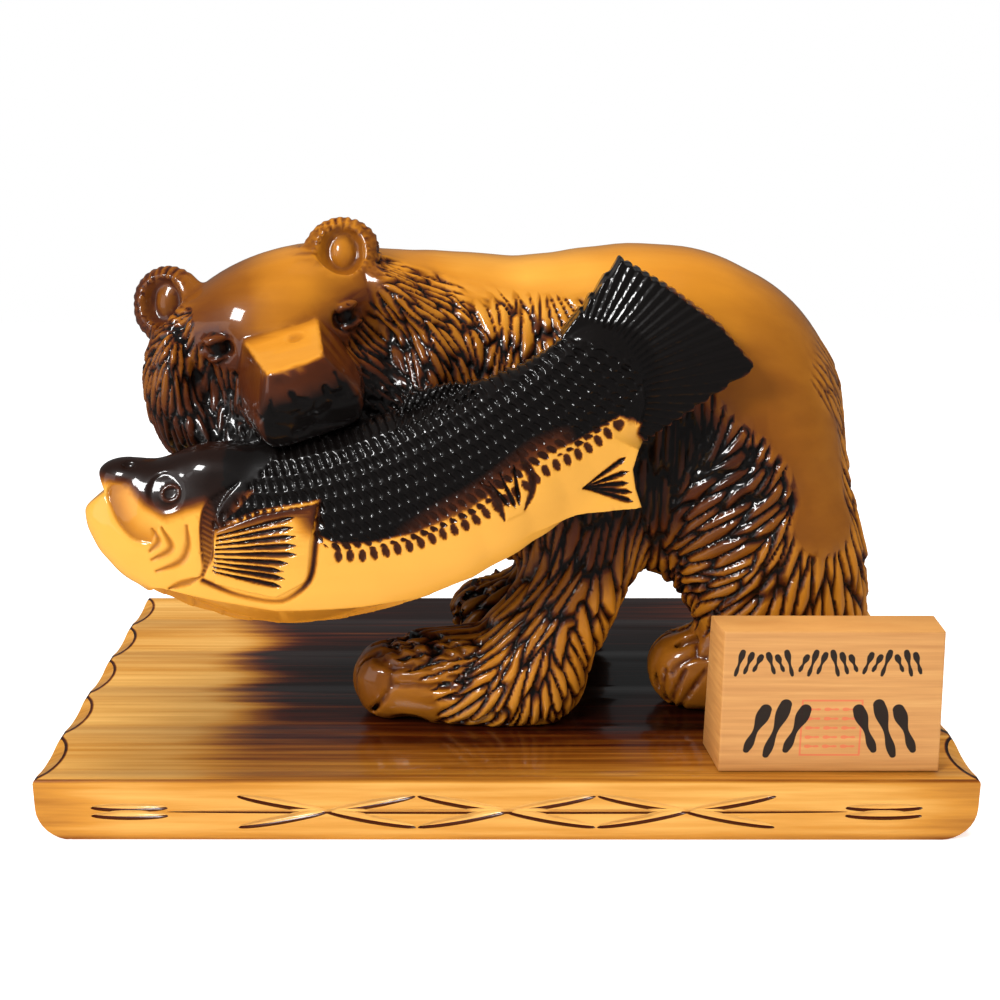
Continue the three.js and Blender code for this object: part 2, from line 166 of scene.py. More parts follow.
def smooth_min(a, b, blend):
    """The smaller of two distances, rounded where they are within the blend of each other."""
    if blend <= 0:
        return np.minimum(a, b)
    h = np.maximum(blend - np.abs(a - b), 0) / blend
    return np.minimum(a, b) - h * h * (blend * 0.25)


class Block:
    """A block of wood held as distances: forms are added to it and cut from it."""

    def __init__(self, low, high, step):
        self.low = np.asarray(low, float)
        self.step = step
        self.field = np.full([int((b - a) / step) + 2 for a, b in zip(low, high)], FAR_AWAY, np.float32)

    def window(self, low, high):
        cells, axes = [], []
        for k in range(3):
            a = max(0, int((low[k] - self.low[k]) / self.step) - 1)
            b = min(self.field.shape[k], int((high[k] - self.low[k]) / self.step) + 2)
            cells.append(slice(a, b))
            axes.append((self.low[k] + self.step * np.arange(a, b)).astype(np.float32))
        return tuple(cells), *np.meshgrid(*axes, indexing="ij", sparse=True)

    def add(self, form, blend=0.0, way=1):
        margin = blend + 2 * self.step
        where, x, y, z = self.window(form.low - margin, form.high + margin)
        self.field[where] = way * smooth_min(way * self.field[where], form.distance(x, y, z), blend)

    def cut(self, form, blend=0.0):
        self.add(form, blend, -1)

    def dent(self, depth, low, high):
        """Lowers the surface by a depth that varies from place to place."""
        where, x, y, z = self.window(low, high)
        self.field[where] += depth(x, y, z)

    def soften(self, rounds):
        """Evens out the creases between forms."""
        for _ in range(rounds):
            for axis in range(3):
                inner = np.moveaxis(self.field, axis, 0)
                inner[1:-1] = 0.25 * inner[:-2] + 0.5 * inner[1:-1] + 0.25 * inner[2:]

    def finer(self, times):
        """Splits every cell, so that small forms can follow large ones."""
        for axis in range(3):
            count = self.field.shape[axis] - 1
            a = np.take(self.field, np.arange(count), axis)
            b = np.take(self.field, np.arange(1, count + 1), axis)
            shape = list(a.shape)
            shape[axis] *= times
            self.field = np.stack([a + (b - a) * (k / times) for k in range(times)], axis + 1).reshape(shape)
        self.step /= times

    def touch(self, target):
        """The first place on the surface on the way from the viewer to the target."""
        way = unit(np.asarray(target, float) - VIEWER)
        run = VIEWER + way * np.arange(*SIGHT)[:, None]
        cell = np.round((run - self.low) / self.step).astype(int)
        inside = ((cell >= 0) & (cell < self.field.shape)).all(1)
        run, cell = run[inside], cell[inside]
        return run[np.argmax(self.field[tuple(cell.T)] < 0)]

    def scratch(self, places, depth_plane, radius, blend=0.5):
        """Cuts a thin line over the surface, drawn as x, z on a plane as the viewer sees it."""
        drawn = along_curve(places, 3 * len(places))
        self.cut(rod([self.touch((x, depth_plane, z)) for x, z in drawn], radius), blend)

    def surface(self):
        """Points in millimetres and the four-sided faces between them, facing outwards."""
        grid = openvdb.FloatGrid(background=FAR_AWAY)
        grid.copyFromArray(np.ascontiguousarray(self.field, np.float32))
        points, _, quads = grid.convertToPolygons(isovalue=0.0, adaptivity=0.0)
        points = self.low + self.step * points.astype(np.float64)
        quads = quads.astype(np.int64)
        a, b, c = (points[quads[:, k]] for k in (0, 1, 2))
        if np.einsum("ij,ij->i", a, np.cross(b, c)).sum() < 0:
            quads = quads[:, ::-1]
        return points, quads


def outward(points, quads):
    """Unit normals at the points."""
    a, b, c, d = (points[quads[:, k]] for k in range(4))
    face = np.cross(c - a, d - b)
    normals = np.zeros_like(points)
    for k in range(4):
        for axis in range(3):
            normals[:, axis] += np.bincount(quads[:, k], face[:, axis], len(points))
    return normals / np.maximum(np.linalg.norm(normals, axis=1), 1e-9)[:, None]


def hollow(points, quads, normals):
    """How deep each point lies under the middle of its neighbours, in millimetres."""
    total = np.zeros_like(points)
    for a, b in ((0, 1), (1, 2), (2, 3), (3, 0)):
        for axis in range(3):
            total[:, axis] += np.bincount(quads[:, a], points[quads[:, b], axis], len(points))
            total[:, axis] += np.bincount(quads[:, b], points[quads[:, a], axis], len(points))
    count = 2.0 * np.bincount(quads.ravel(), minlength=len(points))
    return ((total / np.maximum(count, 1)[:, None] - points) * normals).sum(1)


def to_line(x, z, points):
    """Distance to a line of points in the x-z plane, and how far along it (0 to 1) the nearest place is."""
    points = np.asarray(points, float)
    best, along = np.full(np.broadcast(x, z).shape, 1e3), 0.0
    lengths = np.linalg.norm(np.diff(points, axis=0), axis=1)
    done, total = 0.0, lengths.sum()
    for a, b, length in zip(points[:-1], points[1:], lengths):
        dx, dz = (b - a) / length
        t = np.clip((x - a[0]) * dx + (z - a[1]) * dz, 0, length)
        d = np.hypot(x - a[0] - t * dx, z - a[1] - t * dz)
        along = np.where(d < best, (done + t) / total, along)
        best = np.minimum(best, d)
        done += length
    return best, along


def to_outline(x, z, points):
    """Distance to a closed outline in the x-z plane, below zero inside it."""
    points = np.asarray(points, float)
    far, _ = to_line(x, z, np.vstack([points, points[:1]]))
    inside = np.zeros(far.shape, bool)
    for (ax, az), (bx, bz) in zip(points, np.roll(points, -1, 0)):
        crosses = (az > z) != (bz > z)
        with np.errstate(divide="ignore", invalid="ignore"):
            inside ^= crosses & (x < (bx - ax) * (z - az) / (bz - az) + ax)
    return np.where(inside, -far, far)


def give(data, key, value):
    """Stores a number for each point of a mesh."""
    data.attributes.new(key, "FLOAT", "POINT").data.foreach_set("value", value.astype(np.float32))


def mesh_piece(name, points, quads, tone):
    """A Blender object at the origin from points in millimetres, with the tone at each point: stain, with
    some painted shade and painted highlights.
    """
    data = bpy.data.meshes.new(name)
    data.vertices.add(len(points))
    data.vertices.foreach_set("co", (points * MM).astype(np.float32).ravel())
    data.loops.add(quads.size)
    data.loops.foreach_set("vertex_index", quads.astype(np.int32).ravel())
    data.polygons.add(len(quads))
    data.polygons.foreach_set("loop_start", np.arange(0, quads.size, 4, dtype=np.int32))
    give(data, "tone", tone)
    data.update(calc_edges=True)
    data.validate()
    piece = bpy.data.objects.new(name, data)
    bpy.context.scene.collection.objects.link(piece)
    return piece


def pick(piece):
    """Makes a piece the only one selected, and the active one."""
    bpy.ops.object.select_all(action="DESELECT")
    piece.select_set(True)
    bpy.context.view_layer.objects.active = piece


def thin_out(piece, triangles):
    """Thins the mesh to a number of triangles, most where it is smooth."""
    pick(piece)
    count = sum(len(face.vertices) - 2 for face in piece.data.polygons)
    if count > triangles:
        thinner = piece.modifiers.new("thinner", "DECIMATE")
        thinner.ratio = triangles / count
        bpy.ops.object.modifier_apply(modifier=thinner.name)
    bpy.ops.object.shade_smooth()


def keep(piece, node):
    """Hands a finished piece to the frame."""
    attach(piece, "root")
    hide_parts(node)


# The bear's forms: stations are x, y, z, half width, half height

HEAD_RIGHT = np.array([math.cos(HEAD_TILT), 0, math.sin(HEAD_TILT)])
MUZZLE_ROOT = np.array([-93.2, -73.1, 204.1])
MUZZLE_AHEAD = unit((10.5, -40.0, -4.5))
HEAD_UP = unit(np.cross(MUZZLE_AHEAD, HEAD_RIGHT))
HEAD_RIGHT = unit(np.cross(HEAD_UP, MUZZLE_AHEAD))
HEAD_AXES = np.array([HEAD_RIGHT, HEAD_UP, MUZZLE_AHEAD])
MUZZLE_LENGTH = 39.0
MUZZLE_SIDE = (29.5, 7.0)
MUZZLE_TOP = (26.5, 4.5)
MUZZLE_LOW = (20.0, 6.0)
MUZZLE_BACK = 20.0

TRUNK = [
    (-62, 6, 174, 44, 54), (-32, 6, 175, 58, 72), (5, 6, 173, 62, 75), (45, 6, 174, 63, 80),
    (76, 6, 174, 64, 81), (97, 6, 168, 63, 72), (111, 6, 152, 57, 56), (127, 6, 130, 46, 38),
]
NECK = [(34, 5, 178, 48, 54), (-36, -4, 190, 60, 61), (-76, -22, 203, 54, 54), (-100, -46, 208, 46, 48)]
FORE_LEGS = [
    [(22, -22, 168, 34, 40), (38, -32, 118, 25, 28), (31, -39, 90, 23, 26), (8, -43, 55, 24, 30)],
    [(22, 34, 168, 34, 40), (40, 42, 118, 24, 28), (38, 46, 90, 22, 25), (26, 48, 55, 22, 28)],
]
HIND_LEGS = [
    [(112, -18, 160, 40, 44), (124, -27, 122, 34, 50), (137, -33, 86, 27, 43), (143, -32, 50, 25, 35)],
    [(116, 30, 160, 40, 44), (138, 38, 122, 33, 36), (150, 42, 86, 26, 32), (153, 42, 50, 24, 28)],
]
PAWS = [
    [(33, -43, 44, 21, 16), (2, -44, 50, 26, 24), (-40, -42, 49, 23, 22), (-74, -38, 45, 19, 16)],
    [(54, 48, 44, 20, 15), (26, 48, 50, 24, 22), (0, 48, 50, 23, 20), (-27, 48, 45, 19, 15)],
    [(172, -31, 44, 20, 16), (140, -31, 50, 25, 22), (105, -30, 50, 23, 22), (77, -29, 46, 20, 17)],
    [(182, 42, 44, 20, 15), (158, 42, 50, 24, 20), (134, 43, 50, 23, 20), (113, 44, 46, 19, 16)],
]
SKULL = [
    (-100, 2, 218, 42, 34), (-101, -24, 212, 55, 44), (-101, -46, 208, 59, 47), (-100, -61, 206, 53, 42),
    (-97, -75, 204, 37, 31),
]
CHEEKS = [((-135, -50, 193), (32, 31, 42)), ((-62, -50, 206), (35, 34, 43))]
EARS = [((-156, -44, 234), (-0.3, -0.92, 0.15), 18.5), ((-75, -42, 256.5), (0.05, -0.95, 0.3), 18.5)]
EYES = [(-127.3, -77.6, 220.5), (-71.6, -64.5, 232.5)]
EAR_STROKES = 27
EAR_STROKE_DEPTH = 1.2
NOSTRILS = [[(-94.5, 203.5), (-92, 200.5), (-87.5, 200)], [(-79.5, 206), (-76.5, 203), (-71.5, 203.5)]]
FACE_CUTS = [
    [(-132.5, 222.5), (-129.5, 228), (-124.5, 230), (-118.5, 227.5)],
    [(-131.5, 218), (-127, 216.5), (-120.5, 218.5)],
    [(-74.5, 236), (-72.5, 241), (-68, 242.5), (-63, 239)], [(-73, 233), (-68.5, 230.5), (-63, 233.5)],
    [(-103.5, 200.5), (-102.5, 195), (-96, 193.5), (-89.5, 196)], [(-71, 199.5), (-65, 202), (-63, 207)],
    [(-75.5, 213.5), (-72, 207.5), (-69.5, 200.5)], [(-83.5, 200), (-84.5, 195), (-84, 189)],
    [(-111, 196), (-105, 190.5), (-99, 188.5), (-93, 185.5), (-85, 189), (-71, 190.5), (-63.5, 195)],
]
WHISKERS = 9
WHISKER_FANS = [
    (((-122, 196), (-119, 183)), ((-112, 192), (-108, 180)), -90),
    (((-62, 186), (-50, 186)), ((-59, 203), (-50, 207)), -80),
]
PAW_CUTS = [
    [(-62, 68.5), (-58, 65), (-54.5, 62.5)], [(-57.5, 75), (-53, 70), (-48.5, 65)],
    [(-51, 78.5), (-46, 72), (-41, 66)],
    [(-63.5, 66), (-56, 59), (-58.5, 46), (-67.5, 36)], [(-56, 60), (-41.5, 61.5), (-28.5, 56.5), (-17, 54)],
    [(-56.5, 51.5), (-37.5, 51), (-23.5, 49)], [(-41.5, 64.5), (-28.5, 61.5), (-18, 58)],
    [(-38, 72), (-26, 67), (-17, 61.5)], [(-35.5, 78.5), (-26, 73), (-18, 66)],
]
HIND_PAW_CUTS = [
    [(93, 70.5), (94, 62), (99, 60.5)], [(94, 62), (84.5, 56.5), (81.5, 52)],
    [(99, 55), (89, 39), (86, 32.5)],
    [(88.5, 55), (82.5, 39), (84, 32)], [(78.5, 55), (77.5, 43.5), (84, 32)],
]

# Guides for the fur: place, the way the hair lies, how much fur, stain from honey 0 to black 1, lock width
BODY_GUIDES = [
    ((-50, -20, 254), (1, 0, -0.1), 0, 0.28, 5), ((-20, -15, 252), (1, 0, 0), 0, 0.20, 5),
    ((11, -20, 249), (1, 0, 0), 0, 0.10, 5), ((35, -28, 250), (1, 0, 0), 0, 0.16, 5),
    ((62, -20, 255), (1, 0, 0), 0, 0.26, 5), ((95, -22, 245), (1, 0, -0.3), 0, 0.30, 5),
    ((-12, -40, 240), (0.4, 0, -0.9), 0.3, 0.25, 4.5), ((10, -46, 238), (0, 0, -1), 0.35, 0.22, 4.5),
    ((4, -53, 228), (-0.2, 0, -1), 1, 0.42, 4.5), ((-3, -57, 216), (-0.3, 0, -0.95), 1, 0.62, 4.5),
    ((24, -56, 226), (0.3, 0, -0.95), 1, 0.55, 4.5), ((42, -55, 232), (0.5, 0, -0.85), 0.9, 0.42, 5),
    ((60, -48, 242), (0.4, 0, -0.9), 0.2, 0.28, 5), ((95, -52, 228), (0.5, 0, -0.85), 0.35, 0.34, 5),
    ((128, -48, 224), (0.4, 0, -0.9), 0, 0.42, 5), ((118, -58, 195), (0.2, 0, -1), 0, 0.5, 5),
    ((138, -54, 180), (0.2, 0, -1), 0, 0.46, 5), ((148, -50, 157), (0.2, 0, -1), 0, 0.44, 5),
    ((148, -54, 130), (0.1, 0, -1), 0, 0.46, 5), ((150, -30, 190), (0.5, 0.3, -0.8), 0.4, 0.42, 5),
    ((167, -20, 144), (0.4, 0.3, -0.88), 0.9, 0.46, 5), ((172, -25, 104), (0.3, 0.2, -0.9), 1, 0.45, 5),
    ((160, 6, 170), (0.4, 0, -0.9), 0.7, 0.45, 5), ((178, 6, 110), (0.2, 0, -0.95), 1, 0.5, 5),
    ((85, -60, 174), (-0.1, 0, -1), 1, 0.95, 5), ((104, -62, 160), (-0.85, 0, -0.5), 1, 0.88, 6),
    ((120, -62, 146), (-0.85, 0, -0.55), 1, 0.74, 6), ((104, -60, 126), (-0.85, 0, -0.5), 1, 0.78, 6),
    ((95, -58, 105), (-0.97, 0, -0.2), 1, 0.58, 6), ((122, -60, 112), (-0.6, 0, -0.8), 1, 0.5, 6),
    ((140, -58, 98), (-0.15, 0, -1), 1, 0.44, 6), ((155, -45, 95), (0.2, 0, -1), 1, 0.42, 6),
    ((63, -58, 140), (0, 0, -1), 1, 0.93, 5), ((40, -60, 155), (0, 0, -1), 1, 0.95, 5),
    ((0, -60, 175), (-0.2, 0, -1), 1, 0.93, 5), ((-35, -58, 150), (0.2, 0, -1), 1, 0.95, 5),
    ((-20, 6, 110), (0.6, 0, -0.4), 0.5, 0.95, 6), ((40, 6, 95), (1, 0, 0), 0.3, 0.95, 6),
    ((85, 6, 100), (1, 0, 0), 0.3, 0.93, 6), ((46, -60, 118), (-0.3, 0, -0.95), 1, 0.84, 5),
    ((62, -48, 108), (0.1, 0, -1), 1, 0.55, 6), ((24, -65, 98), (-0.5, 0, -0.87), 1, 0.66, 5),
    ((50, -52, 88), (0.25, 0.2, -0.95), 1, 0.45, 7), ((16, -67, 73), (-0.6, 0, -0.8), 1, 0.54, 5),
    ((38, -56, 66), (0.5, 0.3, -0.8), 1, 0.45, 6), ((7, -68, 53), (-0.25, 0, -0.97), 1, 0.4, 6),
    ((-14, -68, 46), (-0.75, 0, -0.65), 1, 0.38, 6), ((26, -62, 45), (0.4, 0, -0.9), 1, 0.4, 6),
    ((-37, -62, 70), (-0.95, 0, -0.2), 0.8, 0.62, 6), ((-22, -64, 63), (-0.95, 0, -0.35), 0.9, 0.55, 6),
    ((-66, -56, 52), (-0.9, 0, -0.4), 0, 0.55, 6), ((-48, -64, 45), (-0.9, 0, -0.4), 0, 0.42, 6),
    ((-45, -40, 73), (-1, 0, -0.1), 0.6, 0.62, 6), ((85, -50, 55), (-1, 0, -0.2), 0.1, 0.5, 6),
    ((112, -54, 52), (-0.8, 0, -0.5), 0.4, 0.46, 6), ((150, -50, 55), (0.1, 0, -1), 0.9, 0.42, 6),
]
HEAD_GUIDES = [
    ((-104, -70, 245), (0, 0, -1), 0, 0.35, 4), ((-120, -70, 243), (0, 0, -1), 0, 0.52, 4),
    ((-90, -68, 248), (0, 0, -1), 0, 0.32, 4), ((-94, -45, 257), (0, 1, 0), 0, 0.25, 4),
    ((-130, -72, 238), (0, 0, -1), 0, 0.64, 4), ((-76, -66, 243), (0, 0, -1), 0, 0.42, 4),
    ((-93, -95, 226), (0, -1, 0), 0, 0.3, 4), ((-100, -85, 230), (0, -1, 0), 0, 0.3, 4),
    ((-87, -113, 210), (0, -1, 0), 0, 0.82, 4), ((-114, -95, 205), (0, -1, 0), 0, 0.68, 4),
    ((-68, -88, 218), (0, -1, 0), 0, 0.66, 4), ((-90, -108, 192), (0, 0, -1), 0.2, 0.97, 4),
    ((-128, -76, 222), (0, 0, -1), 0, 0.74, 4), ((-70, -64, 233), (0, 0, -1), 0, 0.78, 4),
    ((-146, -68, 214), (-0.25, 0.2, -0.95), 1, 0.68, 3.8),
    ((-148, -62, 228), (-0.5, 0.4, -0.75), 0.9, 0.6, 3.8),
    ((-131, -76, 200), (0.05, 0, -1), 1, 0.85, 3.8), ((-120, -84, 186), (0.35, 0, -0.93), 1, 0.97, 3.8),
    ((-145, -65, 182), (-0.1, 0.1, -1), 1, 0.92, 3.8), ((-162, -52, 200), (-0.35, 0.4, -0.85), 1, 0.64, 3.8),
    ((-166, -46, 174), (-0.1, 0.3, -0.95), 1, 0.7, 3.8), ((-140, -8, 225), (-0.3, 0.9, -0.4), 1, 0.5, 4.5),
    ((-105, -5, 248), (0, 1, -0.2), 0.2, 0.32, 4.5), ((-54, -72, 206), (0.6, 0.2, -0.8), 1, 0.93, 4),
    ((-60, -66, 227), (0.85, 0.3, -0.45), 1, 0.72, 4), ((-39, -50, 238), (0.8, 0.3, -0.55), 1, 0.54, 4.2),
    ((-56, -38, 253), (0.9, 0.2, -0.35), 0.9, 0.48, 4.2), ((-24, -52, 220), (0.4, 0.1, -0.93), 1, 0.56, 4.2),
    ((-31, -58, 203), (0.35, 0.1, -0.95), 1, 0.75, 4.2), ((-50, -68, 190), (0.4, 0.1, -0.9), 1, 0.95, 4.2),
    ((-154, -54, 234), (0, 0, 1), 0, 0.62, 4), ((-163, -50, 242), (0, 0, 1), 0, 0.55, 4),
    ((-166, -48, 228), (0, 0, 1), 0, 0.6, 4), ((-146, -50, 246), (0, 0, 1), 0, 0.5, 4),
    ((-76, -54, 259), (0, 0, 1), 0, 0.4, 4), ((-62, -50, 262), (0, 0, 1), 0, 0.42, 4),
    ((-89, -50, 262), (0, 0, 1), 0, 0.38, 4), ((-74, -46, 273), (0, 0, 1), 0, 0.36, 4),
    ((-110, -60, 160), (0, 0.3, -0.9), 0.8, 0.97, 4.2), ((-70, -40, 150), (0.3, 0.1, -0.9), 1, 0.96, 5),
]
GUIDE_REACH = 9.0
LOCK_WIDTH_SHARE = 0.82
LOCK_LENGTH_RATIO = 6.4
LOCK_HEIGHT = 10
LOCK_LIFT = 0.12
LOCK_TURN = 0.16
LOCK_WIDTHS = (0.75, 1.35)
LOCK_LENGTHS = (0.75, 1.15)
GROOVE_SHARE = 0.40
LEAST_FUR = 0.12
MOST_SEEDS = 45000
SEED_CELL = 12.0
SEED_SPACING = 0.72
EYE_SOCKET = (7.0, 5.6, 5.4)
EYE_BALL = (4.2, 3.8, 4.2)
EYE_LIDS = ((4.4, 2.4), (-4.4, 1.6))
NOSE_HALVES = (15.5, 11.0, 5.5)
BRIDGE_DIP = (5.4, 5.0, 6.4)
FACE_PLANE = -90
PAW_PLANE = -60
HIND_PAW_PLANE = -48
TOE_CLEFTS = (-0.52, -0.02, 0.48)
BEAR_LOW = (-172, -124, 27)
BEAR_HIGH = (190, 80, 285)
BEAR_COARSE = 3
NECK_BLEND = 16
LEG_BLEND = 14
PAW_BLEND = 8
SKULL_BLEND = 14
CHEEK_BLEND = 12
FACE_BLEND = 8
MUZZLE_BLEND = 1.2


def in_head(right, up, ahead):
    """A place given in the head's own directions from the root of the muzzle."""
    return MUZZLE_ROOT + right * HEAD_RIGHT + up * HEAD_UP + ahead * MUZZLE_AHEAD


def muzzle():
    """The muzzle: a flat bridge, two flat sides and a blunt front that meet in clear edges."""

    def distance(x, y, z):
        r, u, f = local(MUZZLE_ROOT, HEAD_AXES, x, y, z)
        t = np.clip(f / MUZZLE_LENGTH, -0.3, 1.2)
        half = MUZZLE_SIDE[0] - MUZZLE_SIDE[1] * t
        side = (np.abs(r) - half + 0.48 * np.maximum(u, 0) + 0.10 * np.maximum(-u, 0)) / 1.1
        top = u - (MUZZLE_TOP[0] - MUZZLE_TOP[1] * t)
        low = -u - (MUZZLE_LOW[0] - MUZZLE_LOW[1] * t)
        front = f - MUZZLE_LENGTH + 0.05 * np.maximum(22 - u, 0) + 0.40 * np.maximum(-u, 0)
        back = -f - MUZZLE_BACK
        solid = -smooth_min(-side, -top, 1.6)
        solid = -smooth_min(-solid, -low, 10.0)
        solid = -smooth_min(-solid, -front, 3.0)
        return np.maximum(solid, back)

    return Form(distance, MUZZLE_ROOT - (44, 58, 46), MUZZLE_ROOT + (58, 28, 48))


def before_face():
    """The wood taken off in front of the face: it leaves a sloping forehead and flat temples."""

    def distance(x, y, z):
        r, u, f = local(MUZZLE_ROOT, HEAD_AXES, x, y, z)
        wide, tall = (0.5 * (v + np.sqrt(v * v + 60.0)) for v in (np.abs(r - 1) - 17, u - 27))
        limit = 3.5 - 0.72 * tall - 0.62 * np.minimum(wide, 26) + 0.9 * np.maximum(4 - u, 0)
        limit = limit + 0.8 * np.maximum(wide - 26, 0)
        return (limit - f) / 1.25

    return Form(distance, MUZZLE_ROOT - (90, 60, 45), MUZZLE_ROOT + (90, 60, 70))


def carve_face(block):
    """Eyes in their sockets, the nose, the lips and the short hair beside them."""
    block.eyes = []
    for place in EYES:
        at = block.touch(place)
        block.cut(egg(at + 1.5 * MUZZLE_AHEAD, EYE_SOCKET, HEAD_AXES), 1.0)
        block.add(egg(at - 3.2 * MUZZLE_AHEAD, EYE_BALL, HEAD_AXES), 0.0)
        for lift, high in EYE_LIDS:
            block.add(egg(at + lift * HEAD_UP - 1.6 * MUZZLE_AHEAD, (7.0, high, 3.2), HEAD_AXES), 0.8)
        block.eyes.append(at)
    block.cut(egg(in_head(4.5, 28.3, 13), BRIDGE_DIP, HEAD_AXES), 0.8)
    nose = in_head(0.5, 10.0, MUZZLE_LENGTH - 2.0)
    block.add(egg(nose, NOSE_HALVES, HEAD_AXES), 2.0)
    for places in NOSTRILS:
        block.scratch(places, FACE_PLANE, 1.8, 1.0)
    for places in FACE_CUTS:
        block.scratch(places, FACE_PLANE, 0.75, 0.5)
    for first, last, depth_plane in WHISKER_FANS:
        for k in range(WHISKERS):
            t = k / (WHISKERS - 1)
            (ax, az), (bx, bz) = ([a + t * (b - a) for a, b in zip(*ends)] for ends in zip(first, last))
            block.scratch([(ax, az), ((ax + bx) / 2 - 0.8, (az + bz) / 2), (bx, bz)], depth_plane, 0.8, 0.4)


def ear_axes(facing):
    ahead = unit(facing)
    right = unit(np.cross(ahead, (0, 0, 1)))
    return np.array([right, np.cross(right, ahead), ahead])


def ear_strokes(x, y, z, at, facing, radius):
    """The strokes that run out over an ear's rim, 1 in the middle of each cut."""
    r, u, f = local(at, ear_axes(facing), x, y, z)
    out = np.sqrt(r * r + u * u) / radius
    wave = np.abs(np.sin(np.arctan2(u, r) * EAR_STROKES / 2)) ** 0.5
    rim = ease(0.52, 0.62, out) * (1 - ease(1.1, 1.25, out)) * ease(-0.75, -0.3, f / radius)
    away = unit(np.asarray(at, float) - MUZZLE_ROOT)
    free = (x - at[0]) * away[0] + (z - at[2]) * away[2]
    return (1.0 - wave) * rim * ease(-0.35, 0.0, free / radius)


def carve_ear(block, at, facing, radius):
    """A round ear: a thick rim round a bowl, with strokes that run out over the rim."""
    axes = ear_axes(facing)
    ahead = axes[2]
    at = np.asarray(at, float)
    block.add(egg(at - 2.0 * ahead, (radius, radius, radius * 0.55), axes), 4.0)
    at = at + 0.10 * radius * axes[1]
    block.cut(egg(at + radius * 0.50 * ahead, (radius * 0.60, radius * 0.66, radius * 0.62), axes), 1.6)
    block.add(egg(at - 1.0 * ahead, (radius * 0.30, radius * 0.44, radius * 0.22), axes), 2.0)

    def strokes(x, y, z):
        return EAR_STROKE_DEPTH * ear_strokes(x, y, z, at, facing, radius)

    block.dent(strokes, at - 1.5 * radius, at + 1.5 * radius)


def carve_paws(block):
    """Clefts between the toes, and the hollow under the near fore paw."""
    for path in PAWS:
        x, y, z, wide, high = path[-1]
        for t in TOE_CLEFTS:
            line = [
                (x + 30, y + t * wide * 1.1, z + high + 4.5), (x + 12, y + t * wide * 1.05, z + high + 2.0),
                (x + 0.5, y + t * wide, z + 4), (x - 0.5, y + t * wide, z - 14),
            ]
            block.cut(rod(line, 1.9), 3.0)
    block.cut(egg((-49, -66, 27), (15, 16, 10.0)), 1.0)
    for places in PAW_CUTS:
        block.scratch(places, PAW_PLANE, 1.3, 1.6)
    for places in HIND_PAW_CUTS:
        block.scratch(places, HIND_PAW_PLANE, 1.2, 1.2)


def bear_block(step, times):
    """The large forms joined coarsely and softened, then the face, ears and paws cut finely."""
    block = Block(BEAR_LOW, BEAR_HIGH, step * times)
    block.add(limb(TRUNK, pieces=14, square=2.3, dome=22))
    block.add(limb(NECK, pieces=8, dome=20), NECK_BLEND)
    for path in HIND_LEGS + FORE_LEGS:
        block.add(limb(path, upward=(1, 0, 0), pieces=8), LEG_BLEND)
    for path in PAWS:
        block.add(limb(path, pieces=6, square=2.8, dome=9), PAW_BLEND)
    block.add(limb(SKULL, upward=HEAD_UP, pieces=8, square=2.3, dome=10), SKULL_BLEND)
    for at, halves in CHEEKS:
        block.add(egg(at, halves, HEAD_AXES[[0, 2, 1]]), CHEEK_BLEND)
    block.soften(2)
    block.finer(times)
    block.cut(before_face(), FACE_BLEND)
    block.add(muzzle(), MUZZLE_BLEND)
    for at, facing, radius in EARS:
        carve_ear(block, at, facing, radius)
    carve_face(block)
    carve_paws(block)
    floor = Form(lambda x, y, z: z - FOOT_LEVEL + 0 * x + 0 * y, (-300, -200, 0), (300, 200, FOOT_LEVEL))
    block.cut(floor)
    return block


def follow_guides(points, normals):
    """The lay of the hair, the amount of fur, the stain and the lock width at each point."""
    guides = BODY_GUIDES + HEAD_GUIDES
    for (x, y, z), lay, *rest in BODY_GUIDES:
        if y < -10:
            guides = guides + [((x, 2 * BEAR_MIDDLE_Y - y, z), (lay[0], -lay[1], lay[2]), *rest)]
    total = np.zeros(len(points))
    sums = np.zeros((len(points), 6))
    for place, lay, fur, tone, wide in guides:
        near = ((points - np.array(place, float)) ** 2).sum(1) + GUIDE_REACH**2
        weight = near**-2
        total += weight
        sums += weight[:, None] * np.array([*unit(lay), fur, tone, wide])
    sums /= total[:, None]
    lay = sums[:, :3] - normals * (sums[:, :3] * normals).sum(1)[:, None]
    lay /= np.maximum(np.linalg.norm(lay, axis=1), 1e-6)[:, None]
    return lay, ease(0.3, 0.6, sums[:, 3]), sums[:, 4], LOCK_WIDTH_SHARE * sums[:, 5]


class Bins:
    """Points sorted into cubes, to find those near a place."""

    def __init__(self, points, size):
        self.size = size
        self.cells = {}
        keys = np.floor(points / size).astype(int)
        order = np.lexsort(keys.T)
        edges = np.flatnonzero(np.any(np.diff(keys[order], axis=0) != 0, axis=1)) + 1
        for group in np.split(order, edges):
            self.cells[tuple(keys[group[0]])] = group

    def near(self, place, reach):
        low = np.floor((place - reach) / self.size).astype(int)
        high = np.floor((place + reach) / self.size).astype(int)
        found = [
            self.cells[i, j, k] for i in range(low[0], high[0] + 1) for j in range(low[1], high[1] + 1)
            for k in range(low[2], high[2] + 1) if (i, j, k) in self.cells
        ]
        return np.concatenate(found) if found else np.zeros(0, int)


